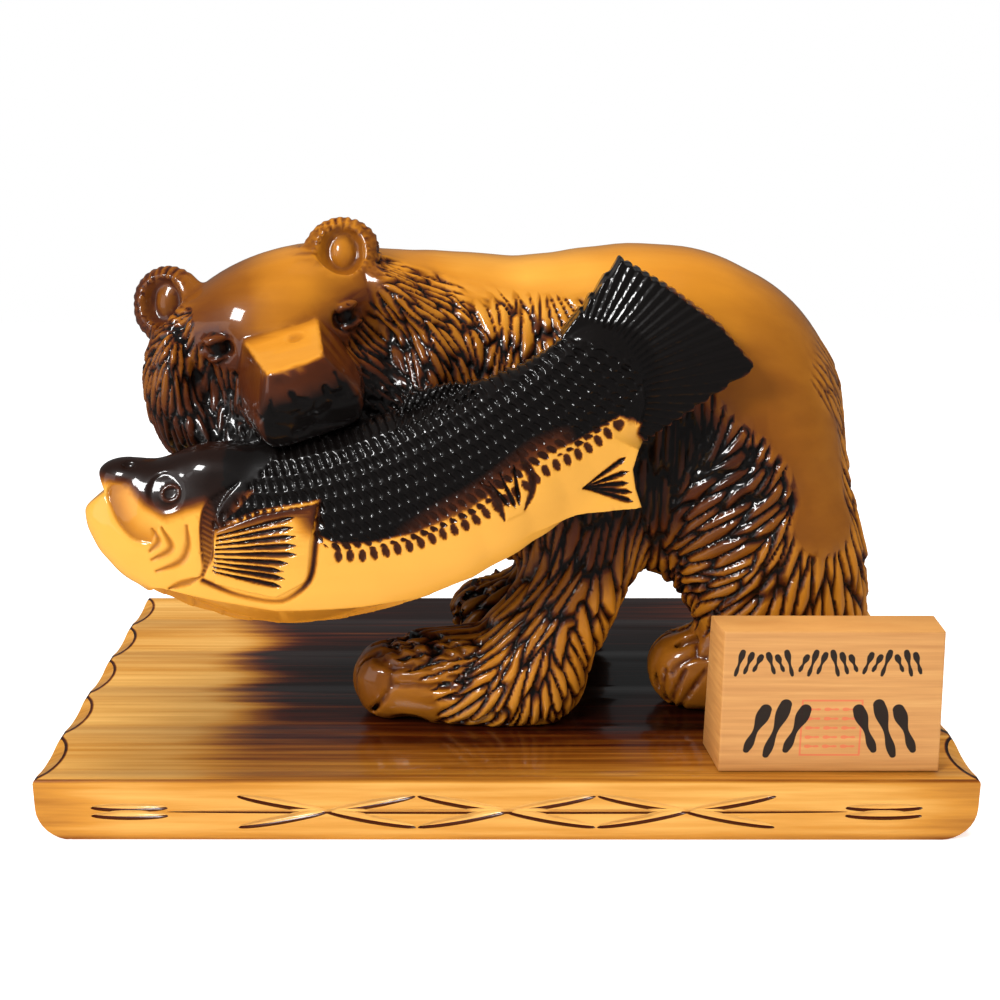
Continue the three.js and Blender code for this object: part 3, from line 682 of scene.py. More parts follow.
def lock_seeds(points, normals, lay, fur, wide, seed):
    """Places for locks of hair, spread so that long narrow locks lie side by side."""
    rng = np.random.default_rng(seed)
    order = rng.permutation(np.flatnonzero(fur > LEAST_FUR))[:MOST_SEEDS]
    across = np.cross(normals, lay)
    cells = {}
    kept = []
    around = range(-2, 3)
    for i in order:
        place = points[i]
        length = wide[i] * LOCK_LENGTH_RATIO
        key = tuple(np.floor(place / SEED_CELL).astype(int))
        rivals = [
            j for dx in around for dy in around for dz in around
            for j in cells.get((key[0] + dx, key[1] + dy, key[2] + dz), ())
        ]
        if rivals:
            step = points[rivals] - place
            u, v, h = step @ lay[i], step @ across[i], step @ normals[i]
            if ((u / length) ** 2 + (v / wide[i]) ** 2 + (h / LOCK_HEIGHT) ** 2).min() < SEED_SPACING:
                continue
        cells.setdefault(key, []).append(i)
        kept.append(i)
    return np.array(kept)


def comb_locks(points, normals, lay, fur, wide, seed):
    """How far the surface sinks (in lock widths) and how deep in a groove (0 to 1) each point lies."""
    seeds = lock_seeds(points, normals, lay, fur, wide, seed)
    across = np.cross(normals, lay)
    first, second = np.full(len(points), 9.0), np.full(len(points), 9.0)
    along, beside, lift = np.zeros(len(points)), np.zeros(len(points)), np.zeros(len(points))
    rng = np.random.default_rng(seed + 1)
    bins = Bins(points, 10.0)
    for i in seeds:
        own_lift = rng.uniform(-LOCK_LIFT, LOCK_LIFT)
        own_wide = wide[i] * rng.uniform(*LOCK_WIDTHS)
        turn = rng.uniform(-LOCK_TURN, LOCK_TURN)
        length = wide[i] * LOCK_LENGTH_RATIO * rng.uniform(*LOCK_LENGTHS)
        group = bins.near(points[i], length * 1.15)
        group = group[normals[group] @ normals[i] > 0.1]
        step = points[group] - points[i]
        ahead = lay[i] + turn * across[i]
        beside_way = across[i] - turn * lay[i]
        u, v, h = step @ ahead / length, step @ beside_way / own_wide, step @ normals[i] / LOCK_HEIGHT
        far = np.sqrt(np.where(u > 0, 0.85, 1.1) * u * u + v * v + h * h)
        closer = far < first[group]
        second[group] = np.where(closer, first[group], np.minimum(second[group], far))
        won = group[closer]
        first[won], along[won], beside[won], lift[won] = far[closer], u[closer], v[closer], own_lift
    groove = np.clip(1.0 - (second - first) / GROOVE_SHARE, 0.0, 1.0) ** 1.3
    ridge = np.clip(np.abs(beside), 0, 0.8)
    sink = 0.46 * groove + 0.25 * ridge + 0.3 * ridge**2 - 0.24 * np.clip(along, -0.7, 0.7) - lift
    return sink, groove


def face_stain(points, normals, tone, eyes):
    """The stain on the muzzle, which changes from facet to facet, and round the eyes."""
    r, u, f = local(MUZZLE_ROOT, HEAD_AXES, *points.T)
    on_muzzle = ease(0.5, 2.5, f) * ease(34, 31, np.abs(r)) * ease(31, 28, u) * ease(-28, -22, u)
    bridge = ease(0.5, 0.75, normals @ HEAD_UP) * ease(18, 20, u)
    nose = ease(32, 36, f) * ease(23.5, 21.5, u) * (1 - ease(18, 22, np.abs(r)))
    muzzle_tone = 0.70 + 0.2 * ease(8, -6, u) + nose * (0.10 + 0.2 * ease(14, 4, u))
    bridge_tone = 0.27 + 0.08 * ease(12, 2, f)
    muzzle_tone = np.where(u < -8, 0.97, muzzle_tone) * (1 - bridge) + bridge_tone * bridge
    tone = tone + on_muzzle * (muzzle_tone - tone)
    for at in eyes:
        far = np.linalg.norm(points - at, axis=1)
        tone = np.maximum(tone, 0.98 * np.exp(-((far / 6.5) ** 4)))
        tone = np.maximum(tone, 0.72 * np.exp(-((far / 11.0) ** 2)))
    return tone


def bear_surface(step, times, seed):
    """The bear's points and faces, with the fur combed in, the stain at each point and painted highlights on
    the crests of the locks.
    """
    block = bear_block(step, times)
    points, quads = block.surface()
    normals = outward(points, quads)
    lay, fur, tone, wide = follow_guides(points, normals)
    tone = face_stain(points, normals, tone, block.eyes)
    sole = ease(FOOT_LEVEL, FOOT_LEVEL + 1.5, points[:, 2])
    sink, groove = comb_locks(points, normals, lay, fur, wide, seed)
    points = points - normals * (sink * wide * fur * sole)[:, None]
    # the grooves between the locks are darker with stain; the crests of the locks are made lighter as a
    # painted highlight
    tone = tone + fur * (0.55 * groove - 0.12 * (1 - groove) * ease(1.0, 0.7, tone))
    for at, facing, radius in EARS:
        tone = tone + 0.45 * ear_strokes(*points.T, at, facing, radius)
    tone = tone + 1.1 * np.clip(hollow(points, quads, outward(points, quads)), -0.05, 0.4)
    return points, quads, np.clip(tone, 0, 1)


# The salmon: stations as for the bear, drawn lines as x, z seen from the front

SALMON = [
    (-176.5, -94, 157, 5, 8), (-166, -94, 150, 12.5, 21), (-145, -93, 143, 20, 33), (-105, -91, 139, 23, 43),
    (-60, -89, 146.5, 23, 44), (-15, -86, 164, 20, 41), (25, -78, 187, 15, 34), (54, -70, 210, 10, 28),
]
SALMON_SQUARE = 2.3
SALMON_LOW = (-192, -121, 90)
SALMON_HIGH = (120, -44, 266)
SALMON_COARSE = 2


def drawn(*points):
    """A smooth drawn line through a few places."""
    return [tuple(p) for p in along_curve(points, 6 * len(points))]


JAW_LINE = drawn((-172.5, 166), (-174.5, 162), (-172.5, 156), (-169, 149), (-162.5, 143), (-154.5, 141.5))
JAW_PLATE = JAW_LINE + [(-150, 150), (-156, 160), (-166, 168)]
CHEEK_WRINKLES = [
    drawn((-154, 148), (-151.5, 143), (-155.5, 138)), drawn((-149.5, 149), (-146, 140), (-155, 134)),
    drawn((-138.5, 150), (-138.5, 141), (-142.5, 133.5), (-153.5, 128.5)),
]
GILL_FRONT = drawn((-115.5, 169), (-128.5, 161), (-132, 153), (-132.5, 141.5), (-132.5, 132), (-134.5, 126))
GILL_BACK = drawn((-115.5, 168.5), (-123, 159.5), (-126.5, 148), (-128, 136.5), (-132.5, 126))
GILL_LEAF = [(-134.5, 126), (-149, 119.5)]
SALMON_EYE = (-145.5, 163.5)
BREAST_FIN = [
    (-126.5, 148), (-107, 155.5), (-81.5, 160), (-85, 142.5), (-87, 125), (-101.5, 116.5), (-128, 123.5),
]
BREAST_FIN_RIM = drawn(
    (-80.5, 160), (-83, 142), (-86, 126), (-94, 117), (-103, 114), (-120, 118), (-133, 124.5),
)
BREAST_SLIT_ROOT = [(-125, 146), (-128, 129.5)]
BREAST_SLIT_TIPS = [
    (-90.5, 154.5), (-91, 150), (-90.5, 145.8), (-90, 141.7), (-90, 137.5), (-94, 133.3), (-97, 129.6),
    (-96, 126), (-97.5, 122),
]
BELLY_FIN_CLAWS = [
    drawn((4.5, 180), (10.5, 170), (11, 162), (8, 153.5)), drawn((-11, 167), (-5, 160.5), (-1, 149.5)),
]
BELLY_FIN_SLITS = [[(-8, 168), (1, 155.5)], [(-3, 171), (4, 154.5)], [(3, 174), (5.5, 155.5)]]
BELLY_FIN = [(-11, 168), (4.5, 181), (11.5, 170), (11.5, 160), (8, 152.5), (-1, 149)]
VENT_FIN = [
    (0, -88, 141), (14, -87, 144), (32, -84, 147.5), (61, -78, 149), (58, -78, 158), (56.5, -78, 167),
    (59, -78, 176), (40, -81, 184), (12, -85, 176),
]
VENT_SLIT_ROOT = (34, 160)
VENT_SLIT_TIPS = [(54, 173.5), (55, 166.5), (55, 161), (57, 156.5), (57.5, 152)]
BACK_FIN = [(-49, -90, 184), (-47, -90, 203), (-34, -88, 207), (-16, -87, 209), (-6, -86, 194)]
TAIL_FAN = [(24, -76, 226), (50, -62, 259), (74, -65, 245), (96, -64, 229), (113, -62, 210), (62, -70, 178)]
TAIL_FOCUS = (24, 198)
TAIL_RIBS = 15
TAIL_RING = [(22, 224), (41.5, 223), (51.5, 218), (59.5, 208), (61, 196.5), (59, 186)]
SCALE_REGION = [
    (-96, 184), (-98, 174.5), (-106, 168.5), (-115.5, 158), (-125, 150), (-107, 157), (-80.5, 161.5),
    (-82, 146), (-74, 142), (-61, 142), (-40, 146), (-16, 156), (14, 177), (29, 182), (48, 194), (58, 206),
    (51, 216), (41, 221), (22, 223), (20, 245), (-16, 222), (-60, 205),
]
DAB_LINE = [(-76, 136), (-61, 136), (-39, 140.5), (-15, 149.5), (-2, 158), (18, 171), (33, 177), (50, 188)]
HEAD_SHADE = [
    (-190, 168), (-172, 167.5), (-164, 166), (-156, 158.5), (-148, 154.5), (-139, 157.5), (-131, 160),
    (-127, 150), (-122, 147), (-116, 158), (-106, 169), (-97, 176), (-100, 200), (-190, 200),
]
FACET_EDGE = [
    (-160, 119.5), (-149, 117.5), (-120, 112.5), (-102.5, 109), (-64.5, 109), (-40, 111), (-15, 122),
    (45, 160),
]
BLACK_BACK = SCALE_REGION[:14] + [
    (50, 192), (63, 186), (80, 215), (45, 245), (20, 245), (-16, 222), (-60, 205),
]
MOUTH_NOTCH = [(-176.3, -94, 162), (-178.5, -94, 166.5), (-182, -94, 173), (-205, -94, 173), (-205, -94, 139)]
SCALE_PITCH = 4.4
SCALE_ROW = 6.2
SCALE_LEAN = 0.32
SCALE_HALVES = (1.75, 2.9)
DAB_PITCH = 5.2
DAB_HALVES = (1.9, 3.4)


def plate(corners, thick, lean=0.0):
    """A flat fin: its outline seen from the front, lying on the plane that fits its corners best."""
    corners = np.asarray(corners, float)
    flat = np.c_[np.ones(len(corners)), corners[:, 0], corners[:, 2]]
    fit = np.linalg.lstsq(flat, corners[:, 1], rcond=None)[0]

    def distance(x, y, z):
        edge = to_outline(x, z, corners[:, [0, 2]])
        face = np.abs(y - (fit[0] + fit[1] * x + fit[2] * z) - lean) - thick / 2
        return np.maximum(edge, face).astype(np.float32)

    pad = np.array([2.0, thick, 2.0])
    return Form(distance, corners.min(0) - pad, corners.max(0) + pad + (0, abs(lean), 0))


def salmon_spine(x, z):
    """Distance along the fish from its nose, and height over its middle line."""
    run = along_curve(SALMON, 90)[:, [0, 2]]
    lengths = np.r_[0, np.cumsum(np.linalg.norm(np.diff(run, axis=0), axis=1))]
    best = np.full(np.broadcast(x, z).shape, 1e9)
    along, height = np.zeros(best.shape), np.zeros(best.shape)
    for i in range(len(run) - 1):
        d = (run[i + 1] - run[i]) / (lengths[i + 1] - lengths[i])
        px, pz = x - run[i][0], z - run[i][1]
        t = px * d[0] + pz * d[1]
        side = pz * d[0] - px * d[1]
        over = np.clip(t, 0, lengths[i + 1] - lengths[i])
        far = (t - over) ** 2 + side**2
        nearer = far < best
        best = np.where(nearer, far, best)
        along = np.where(nearer, lengths[i] + t, along)
        height = np.where(nearer, side, height)
    return along, height


def slit(x, z, root, tip, wide):
    """A pointed cut: thin at the root, widest near the tip; 1 in its middle and 0 outside."""
    far, t = to_line(x, z, [root, tip])
    reach = wide * (0.3 + 0.7 * ease(0.0, 0.75, t)) * (1 - ease(0.82, 1.0, t)) + 0.05
    return np.clip(1.0 - far / reach, 0, 1)


def wave(value, length):
    """Even waves from 0 to 1."""
    return 0.5 + 0.5 * np.cos(value * 2 * np.pi / length)


def seen(corners):
    """The outline of a fin as the viewer sees it."""
    return [(x, z) for x, _, z in corners]


def breast_slits(x, z):
    (ax, az), (bx, bz) = BREAST_SLIT_ROOT
    cut = 0.0
    for k, tip in enumerate(BREAST_SLIT_TIPS):
        t = k / (len(BREAST_SLIT_TIPS) - 1)
        cut = np.maximum(cut, slit(x, z, (ax + t * (bx - ax), az + t * (bz - az)), tip, 1.9))
    return cut


def scale_cuts(x, z):
    """The gouge cuts of the scales, 1 in the middle of each."""
    along, height = salmon_spine(x, z)
    row = np.floor(height / SCALE_ROW)
    across = height - (row + 0.5) * SCALE_ROW
    shift = along / SCALE_PITCH + 0.5 * (row % 2)
    shift = shift + SCALE_LEAN * across / SCALE_PITCH
    place = np.floor(shift)
    step = (shift - place - 0.5) * SCALE_PITCH
    uneven = np.sin(place * 12.9898 + row * 78.233) * 43758.5453
    size = 0.82 + 0.32 * (uneven - np.floor(uneven))
    inside = 1.0 - (step / (SCALE_HALVES[0] * size)) ** 2 - (across / (SCALE_HALVES[1] * size)) ** 2
    return np.sqrt(np.clip(inside, 0, 1)) * (0.75 + 0.25 * step / SCALE_HALVES[0])


def dabs(x, z):
    """A row of short oval cuts under the scales."""
    far, t = to_line(x, z, DAB_LINE)
    length = np.linalg.norm(np.diff(np.array(DAB_LINE, float), axis=0), axis=1).sum()
    step = ((t * length / DAB_PITCH) % 1.0 - 0.5) * DAB_PITCH
    return np.clip(1.0 - (step / DAB_HALVES[0]) ** 2 - (far / DAB_HALVES[1]) ** 2, 0, 1)


def salmon_marks(x, z):
    """Every drawn mark on the salmon's side as a number from 0 to 1."""
    far_jaw, _ = to_line(x, z, JAW_LINE)
    ex, ez = x - SALMON_EYE[0], z - SALMON_EYE[1]
    eye = np.hypot((0.94 * ex + 0.34 * ez) / 1.25, 0.94 * ez - 0.34 * ex)
    bowl = np.hypot(ex + 2.0, ez)
    gill = to_outline(x, z, GILL_FRONT + GILL_BACK[::-1])
    wrinkle = 0.0
    for line in CHEEK_WRINKLES:
        far, t = to_line(x, z, line)
        wide = 0.5 + 1.2 * np.sin(np.pi * np.clip(t, 0.05, 0.95))
        wrinkle = np.maximum(wrinkle, np.exp(-((far / wide) ** 2)))
    leaf, t = to_line(x, z, GILL_LEAF)
    leaf = np.clip(1.0 - leaf / (0.4 + 2.4 * np.sin(np.pi * np.clip(t, 0.04, 0.96)) ** 0.7), 0, 1)
    claw = 0.0
    for line in BELLY_FIN_CLAWS:
        far, t = to_line(x, z, line)
        wide = 0.4 + 2.3 * np.sin(np.pi * np.clip(0.1 + t * 0.87, 0, 1))
        claw = np.maximum(claw, np.clip(1.0 - far / wide, 0, 1))
    fin_slits = 0.0
    for root, tip in BELLY_FIN_SLITS:
        fin_slits = np.maximum(fin_slits, slit(x, z, root, tip, 1.5))
    for tip in VENT_SLIT_TIPS:
        fin_slits = np.maximum(fin_slits, slit(x, z, VENT_SLIT_ROOT, tip, 1.8))
    rim, _ = to_line(x, z, BREAST_FIN_RIM)
    ring, _ = to_line(x, z, TAIL_RING)
    turn = np.arctan2(z - TAIL_FOCUS[1], x - TAIL_FOCUS[0])
    fan = to_outline(x, z, seen(TAIL_FAN))
    beyond = ease(-1.0, 2.0, np.hypot(x - TAIL_FOCUS[0], z - TAIL_FOCUS[1]) - 37.0)
    ribs = wave(turn, math.radians(60) / TAIL_RIBS) * ease(2, -1, fan) * beyond
    back_fin = to_outline(x, z, seen(BACK_FIN))
    rays = wave(x - 0.45 * z, 2.6) * ease(1, -1, back_fin) * ease(186, 192, z - 0.35 * (x + 47))
    scales = to_outline(x, z, SCALE_REGION)
    fin = to_outline(x, z, BREAST_FIN)
    return {
        "jaw": ease(0.7, -0.7, to_outline(x, z, JAW_PLATE)) * (1 - ease(3, 16, far_jaw)),
        "jaw_line": np.exp(-((far_jaw / 1.3) ** 2)),
        "jaw_shade": np.exp(-((far_jaw / 7.0) ** 2)) * ease(1.0, -1.0, to_outline(x, z, JAW_PLATE)),
        "eye": 1 - ease(2.0, 2.6, eye),
        "eye_ring": np.exp(-(((eye - 3.0) / 0.5) ** 2)),
        "socket": 1 - ease(6.8, 8.8, bowl),
        "hatch": wave(0.6 * x + z, 2.5) * ease(0.4, -0.8, gill),
        "wrinkle": wrinkle,
        "gill": ease(0.6, -0.6, gill),
        "gill_line": np.exp(-((gill / 0.7) ** 2)),
        "leaf": leaf,
        "fin": ease(0.6, -0.6, fin),
        "rim": np.exp(-((rim / 1.3) ** 2)),
        "slits": breast_slits(x, z),
        "fin_slits": fin_slits,
        "claws": claw,
        "belly_fin": ease(0.6, -0.6, to_outline(x, z, BELLY_FIN)),
        "ring": np.exp(-((ring / 1.0) ** 2)),
        "ribs": ribs,
        "rays": rays,
        "scaled": ease(0.8, -0.4, scales),
        "scale": scale_cuts(x, z) * ease(4.0, 2.5, scales) * ease(-0.5, 0.5, fin),
        "dabs": dabs(x, z) * ease(1.0, 2.5, scales) * ease(-1, 1, fin),
        "black": ease(1.0, -0.6, to_outline(x, z, BLACK_BACK)),
        "edge_near": np.exp(-((np.minimum(scales, 0) / 7.0) ** 2)) * ease(1.0, -0.5, scales),
        "head": ease(5.0, -4.0, to_outline(x, z, HEAD_SHADE)),
        "tail": ease(2.0, -1.5, fan) * beyond,
    }


MARK_DEPTHS = {
    "jaw": 1.1, "jaw_line": 0.5, "eye": 0.3, "eye_ring": -0.5, "socket": 0.8, "wrinkle": 1.1, "hatch": 0.6,
    "gill": 0.8, "leaf": 1.2, "fin": -1.6, "rim": 1.2, "slits": 2.0, "fin_slits": 1.8, "claws": 1.4,
    "belly_fin": -0.7, "ring": -0.9, "ribs": 1.1, "rays": 1.0, "scale": 1.7, "dabs": 1.2,
}
CUT_STAINS = {
    "leaf": (0.40, 0.1, 0.6), "slits": (0.9, 0.05, 0.6), "fin_slits": (0.92, 0.05, 0.5),
    "claws": (0.85, 0.05, 0.5), "dabs": (0.78, 0.05, 0.4), "scale": (0.85, 0.1, 0.4),
}


def salmon_block(step, times):
    """The fish's body, then its head, fins, the flat under its belly and the drawn marks."""
    block = Block(SALMON_LOW, SALMON_HIGH, step * times)
    block.add(limb(SALMON, pieces=20, square=SALMON_SQUARE, dome=7))
    block.soften(2)
    block.finer(times)
    block.add(egg((-168, -94, 168.5), (11.5, 9.5, 6.8)), 5)
    block.add(egg((-128, -93, 172), (16, 13, 9)), 8)
    block.cut(plate(MOUTH_NOTCH, 60), 2.0)
    for side in (-1, 1):
        block.cut(egg((-165, -94 + side * 6, 174), (3.0, 2.2, 2.4)), 1.0)
    block.add(plate(TAIL_FAN, 13), 1.5)
    block.add(plate(TAIL_FAN, 10, 8), 1.5)
    block.add(plate(VENT_FIN, 12), 5.0)
    block.add(plate(BACK_FIN, 7), 1.2)
    edge = np.array(FACET_EDGE, float)
    run = along_curve(SALMON, 90)
    where, x, y, z = block.window((-175, -121, 90), (60, -60, 190))
    middle_y, middle_z = np.interp(x, run[:, 0], run[:, 1]), np.interp(x, run[:, 0], run[:, 2])
    wide, tall = np.interp(x, run[:, 0], run[:, 3]), np.interp(x, run[:, 0], run[:, 4])
    top = np.interp(x, edge[:, 0], edge[:, 1])
    drop = np.clip((middle_z - top) / tall, 0, 0.98)
    near_y = middle_y - wide * (1 - drop**SALMON_SQUARE) ** (1 / SALMON_SQUARE)
    slope_y, slope_z = near_y - middle_y, top - (middle_z - tall) - 1.0
    facet = (-(y - near_y) * slope_z + -(z - top) * -slope_y) / np.hypot(slope_y, slope_z)
    block.field[where] = np.where(y < middle_y, np.maximum(block.field[where], facet), block.field[where])
    where, x, y, z = block.window((-190, -121, 92), (118, -44, 264))
    marks = salmon_marks(x[:, 0, :], z[:, 0, :])
    depth = sum(marks[key] * amount for key, amount in MARK_DEPTHS.items())
    block.field[where] += depth[:, None, :].astype(np.float32)
    return block


def salmon_surface(step, times):
    """The salmon's points and faces, with the stain at each point and a painted shade on the flat under its
    belly.
    """
    points, quads = salmon_block(step, times).surface()
    x, y, z = points.T
    mark = salmon_marks(x, z)
    run = along_curve(SALMON, 90)
    _, height = salmon_spine(x, z)
    low = np.interp(x, *np.array(FACET_EDGE).T)
    # painted shade: the flat under the belly faces down, so it is coloured darker than the belly beside it
    facet = ease(0.7, -0.7, z - low) * ease(-172, -150, x) * (1 - ease(-70, -20, x))
    jaw = ease(-150, -170, x) * ease(0.7, -0.7, to_outline(x, z, JAW_PLATE))
    tone = 0.05 + 0.22 * facet
    tone = tone + 0.25 * mark["jaw_shade"] + 0.12 * jaw
    tone = np.maximum(tone, 0.9 * mark["head"] - 0.15 * mark["socket"] * (1 - mark["head"]))
    tone = np.maximum(tone, 0.80 * mark["socket"]) - 0.14 * mark["eye_ring"] * mark["socket"]
    tone = np.maximum(tone, 0.42 * mark["wrinkle"])
    tone = np.maximum(tone, mark["gill"] * (0.40 + 0.28 * ease(135, 160, z) + 0.2 * mark["hatch"]))
    tone = np.maximum(tone, 0.75 * mark["gill_line"] * ease(128, 138, z))
    black = np.maximum(mark["black"], mark["tail"])
    tone = np.maximum(tone, black * (0.97 - 0.34 * mark["edge_near"] * ease(-60, -20, x) * ease(34, 20, x)))
    fin_tone = 0.06 + 0.72 * ease(7.0, 0.5, -to_outline(x, z, BREAST_FIN)) * ease(142, 154, z)
    tone = np.where(mark["fin"] > 0.5, fin_tone, tone)
    tone = np.maximum(tone, 0.85 * mark["rim"] * ease(114, 126, z) + 0.4 * mark["rim"] * ease(126, 114, z))
    for key, (stain, start, full) in CUT_STAINS.items():
        tone = np.maximum(tone, stain * ease(start, full, mark[key]))
    tone = np.maximum(tone, 0.97 * ease(0.3, 0.6, -to_outline(x, z, seen(BACK_FIN))))
    over = height - 0.55 * np.interp(x, run[:, 0], run[:, 4])
    tone = np.maximum(tone, 0.97 * ease(0.0, 4.0, over) * ease(-130, -120, x))
    return points, quads, np.clip(tone, 0, 1)


# The board and the name block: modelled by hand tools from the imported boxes


def box_piece(name, low, high):
    """A cube at its size and place, with the place kept in its mesh."""
    bpy.ops.object.select_all(action="DESELECT")
    middle = [(a + b) / 2 for a, b in zip(low, high)]
    bpy.ops.mesh.primitive_cube_add(size=1, location=middle)
    piece = bpy.context.object
    piece.name = name
    piece.scale = [b - a for a, b in zip(low, high)]
    bpy.ops.object.transform_apply(location=True, rotation=True, scale=True)
    return piece


def select_where(piece, kind, test):
    """Opens a piece for editing with only the edges or faces selected that pass the test."""
    pick(piece)
    bpy.ops.object.mode_set(mode="EDIT")
    bpy.ops.mesh.select_mode(type=kind)
    bpy.ops.mesh.select_all(action="DESELECT")
    shape = bmesh.from_edit_mesh(piece.data)
    for part in shape.edges if kind == "EDGE" else shape.faces:
        part.select_set(test(part))
    bmesh.update_edit_mesh(piece.data)


def bevel_where(piece, test, offset, segments, axis=None):
    """Rounds the edges whose two ends pass the test, only those along one axis if it is given."""

    def rounded(edge):
        a, b = (vertex.co for vertex in edge.verts)
        runs = axis is None or abs(a[axis] - b[axis]) > MM
        return runs and test(a) and test(b)

    select_where(piece, "EDGE", rounded)
    bpy.ops.mesh.bevel(offset=offset, segments=segments, profile=0.5, affect="EDGES")
    bpy.ops.object.mode_set(mode="OBJECT")


def cut_egg(piece, at, halves, finish, turn=(0, 0, 0)):
    """Takes an egg-shaped cut out of a piece; the cut gets its own finish."""
    bpy.ops.object.select_all(action="DESELECT")
    bpy.ops.mesh.primitive_uv_sphere_add(segments=40, ring_count=20, radius=1, location=[a * MM for a in at])
    cutter = bpy.context.object
    cutter.scale = [h * MM for h in halves]
    cutter.rotation_euler = [math.radians(a) for a in turn]
    cutter.data.materials.append(finish)
    pick(piece)
    cut = piece.modifiers.new("cut", "BOOLEAN")
    cut.operation = "DIFFERENCE"
    cut.solver = "EXACT"
    cut.object = cutter
    cut.material_mode = "TRANSFER"
    bpy.ops.object.modifier_apply(modifier=cut.name)
    bpy.data.objects.remove(cutter, do_unlink=True)


SCALLOPS = 5
SCALLOP_PITCH = 47.0
SCALLOP_HALVES = (30.0, 50.0, 30.0)
SCALLOP_OUT = 8.0
SCALLOP_LEVEL = 56.0
STEM_LEVEL = 14.5
STEM_HALF = 156.0
STEM_NODES = (-82.0, 0.0, 82.0)
LEAF_HALF = 20.5
LEAF_RISE = 11.0
END_LEAF_X = 172.0
END_LEAF_HALF = 17.0
CHIP_MIDDLE_X = 215.0
CHIP_LINE_STAIN = 0.7
FOOT_ROUND = 16.0
TOP_ROUND = 1.6
EDGE_ROUND = 0.8
SHARP_ANGLE = math.radians(28)


def leaf_cut(piece, at, half, turn, burnt, fresh):
    """A slender leaf cut in the front edge: pale wood with a dark line along its lower side."""
    x, y, z = at
    cut_egg(piece, (x, y, z - 0.25), (half + 0.6, 2.0, 2.05), burnt, (0, turn, 0))
    cut_egg(piece, (x, y, z + 0.25), (half, 2.7, 2.05), fresh, (0, turn, 0))


def board_piece(finishes):
    """The board with its chipped ends and the leaves along its front edge."""
    top, side, burnt, scallop, fresh = finishes
    low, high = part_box("plinth_board")
    piece = box_piece("plinth_board_wood", low, high)
    piece.data.materials.append(side)
    half_x = high[0] / MM
    front = -high[1] / MM
    bevel_where(piece, lambda p: abs(p.x) > high[0] - 1e-5 and p.z < 1e-5, FOOT_ROUND * MM, 8, axis=1)
    bevel_where(piece, lambda p: p.z > high[2] - 1e-5, TOP_ROUND * MM, 3)
    bevel_where(piece, lambda p: abs(p.y) > high[1] - 1e-5 and p.z < 1e-5, EDGE_ROUND * MM, 2)
    for x in (-1, 1):
        for k in range(SCALLOPS):
            y = (k - (SCALLOPS - 1) / 2) * SCALLOP_PITCH
            at = (x * (half_x + SCALLOP_OUT), y, SCALLOP_LEVEL)
            cut_egg(piece, at, SCALLOP_HALVES, scallop)
    cut_egg(piece, (0, front, STEM_LEVEL - 0.15), (STEM_HALF, 1.5, 1.1), burnt)
    cut_egg(piece, (0, front, STEM_LEVEL + 0.15), (STEM_HALF, 2.0, 1.1), fresh)
    for x in STEM_NODES:
        for way in (-1, 1):
            for lift in (-1, 1):
                at = (x + way * LEAF_HALF * 0.97, front, STEM_LEVEL + lift * 3.9)
                leaf_cut(piece, at, LEAF_HALF, -way * lift * LEAF_RISE, burnt, fresh)
    for x in (-END_LEAF_X, END_LEAF_X):
        for lift in (-1, 1):
            leaf_cut(piece, (x, front, STEM_LEVEL + lift * 2.0), END_LEAF_HALF, 0, burnt, fresh)
    slots = [material.name for material in piece.data.materials]
    piece.data.materials.append(top)
    for face in piece.data.polygons:
        on_top = face.normal.z > 0.9 and face.center.z > high[2] - 1e-4
        if on_top and slots[face.material_index] == side.name:
            face.material_index = len(slots)
    pick(piece)
    bpy.ops.object.shade_smooth_by_angle(angle=SHARP_ANGLE)
    return piece


INK_GROUPS = 6
INK_GROUP_PITCH = 14.4
INK_ROW_LEVEL = 19.0
INK_ROW_LEFT = -38.5
LARGE_GROUPS = ((-25.0, 1), (26.0, -1))
LARGE_LEVEL = -13.5
SEAL_MIDDLE = (0.5, -12.5)
SEAL_HALF = 13.5
BLOCK_TOP_DEPTH = 20.0
BLOCK_LEAN = 2.4
BLOCK_SKEW = 3.5
BLOCK_ROUND = 0.7


def brush(x, z, start, end, half):
    """Distance to a brush stroke that starts thick and thins towards its end."""
    far, t = to_line(x, z, [start, end])
    return far - half * (1.0 - 0.55 * t + 0.25 * np.sin(9 * t))


def ink_marks(x, z):
    """Distances to rows of plain ink strokes and to a red stamp, from the middle of the front."""
    ink = np.full(x.shape, 20.0)
    for k in range(INK_GROUPS):
        cx, lean = INK_ROW_LEFT + k * INK_GROUP_PITCH, 1.5 if k % 2 else -1.5
        for n in range(3):
            tall = 5.6 - 1.1 * ((k + n) % 3)
            at = cx + (n - 1) * 4.1
            stroke = brush(x, z, (at - lean, INK_ROW_LEVEL + tall), (at + lean, INK_ROW_LEVEL - tall), 1.25)
            ink = np.minimum(ink, stroke)
    for cx, way in LARGE_GROUPS:
        for n in range(3):
            at, tall = cx + (n - 1) * 9.0, 12.5 - 2.5 * ((n + 1) % 2)
            start, end = (at + way * 4.5, LARGE_LEVEL + tall), (at - way * 3.5, LARGE_LEVEL - tall)
            ink = np.minimum(ink, brush(x, z, start, end, 2.7))
    sx, sz = x - SEAL_MIDDLE[0], z - SEAL_MIDDLE[1]
    stamp = np.abs(np.maximum(np.abs(sx), np.abs(sz)) - SEAL_HALF) - 0.45
    for row in range(-2, 3):
        for column in (-1, 0, 1):
            start, end = (column * 8.2 - 2.8, row * 4.6), (column * 8.2 + 2.8, row * 4.6)
            stamp = np.minimum(stamp, brush(sx, sz, start, end, 0.8))
    return ink, stamp


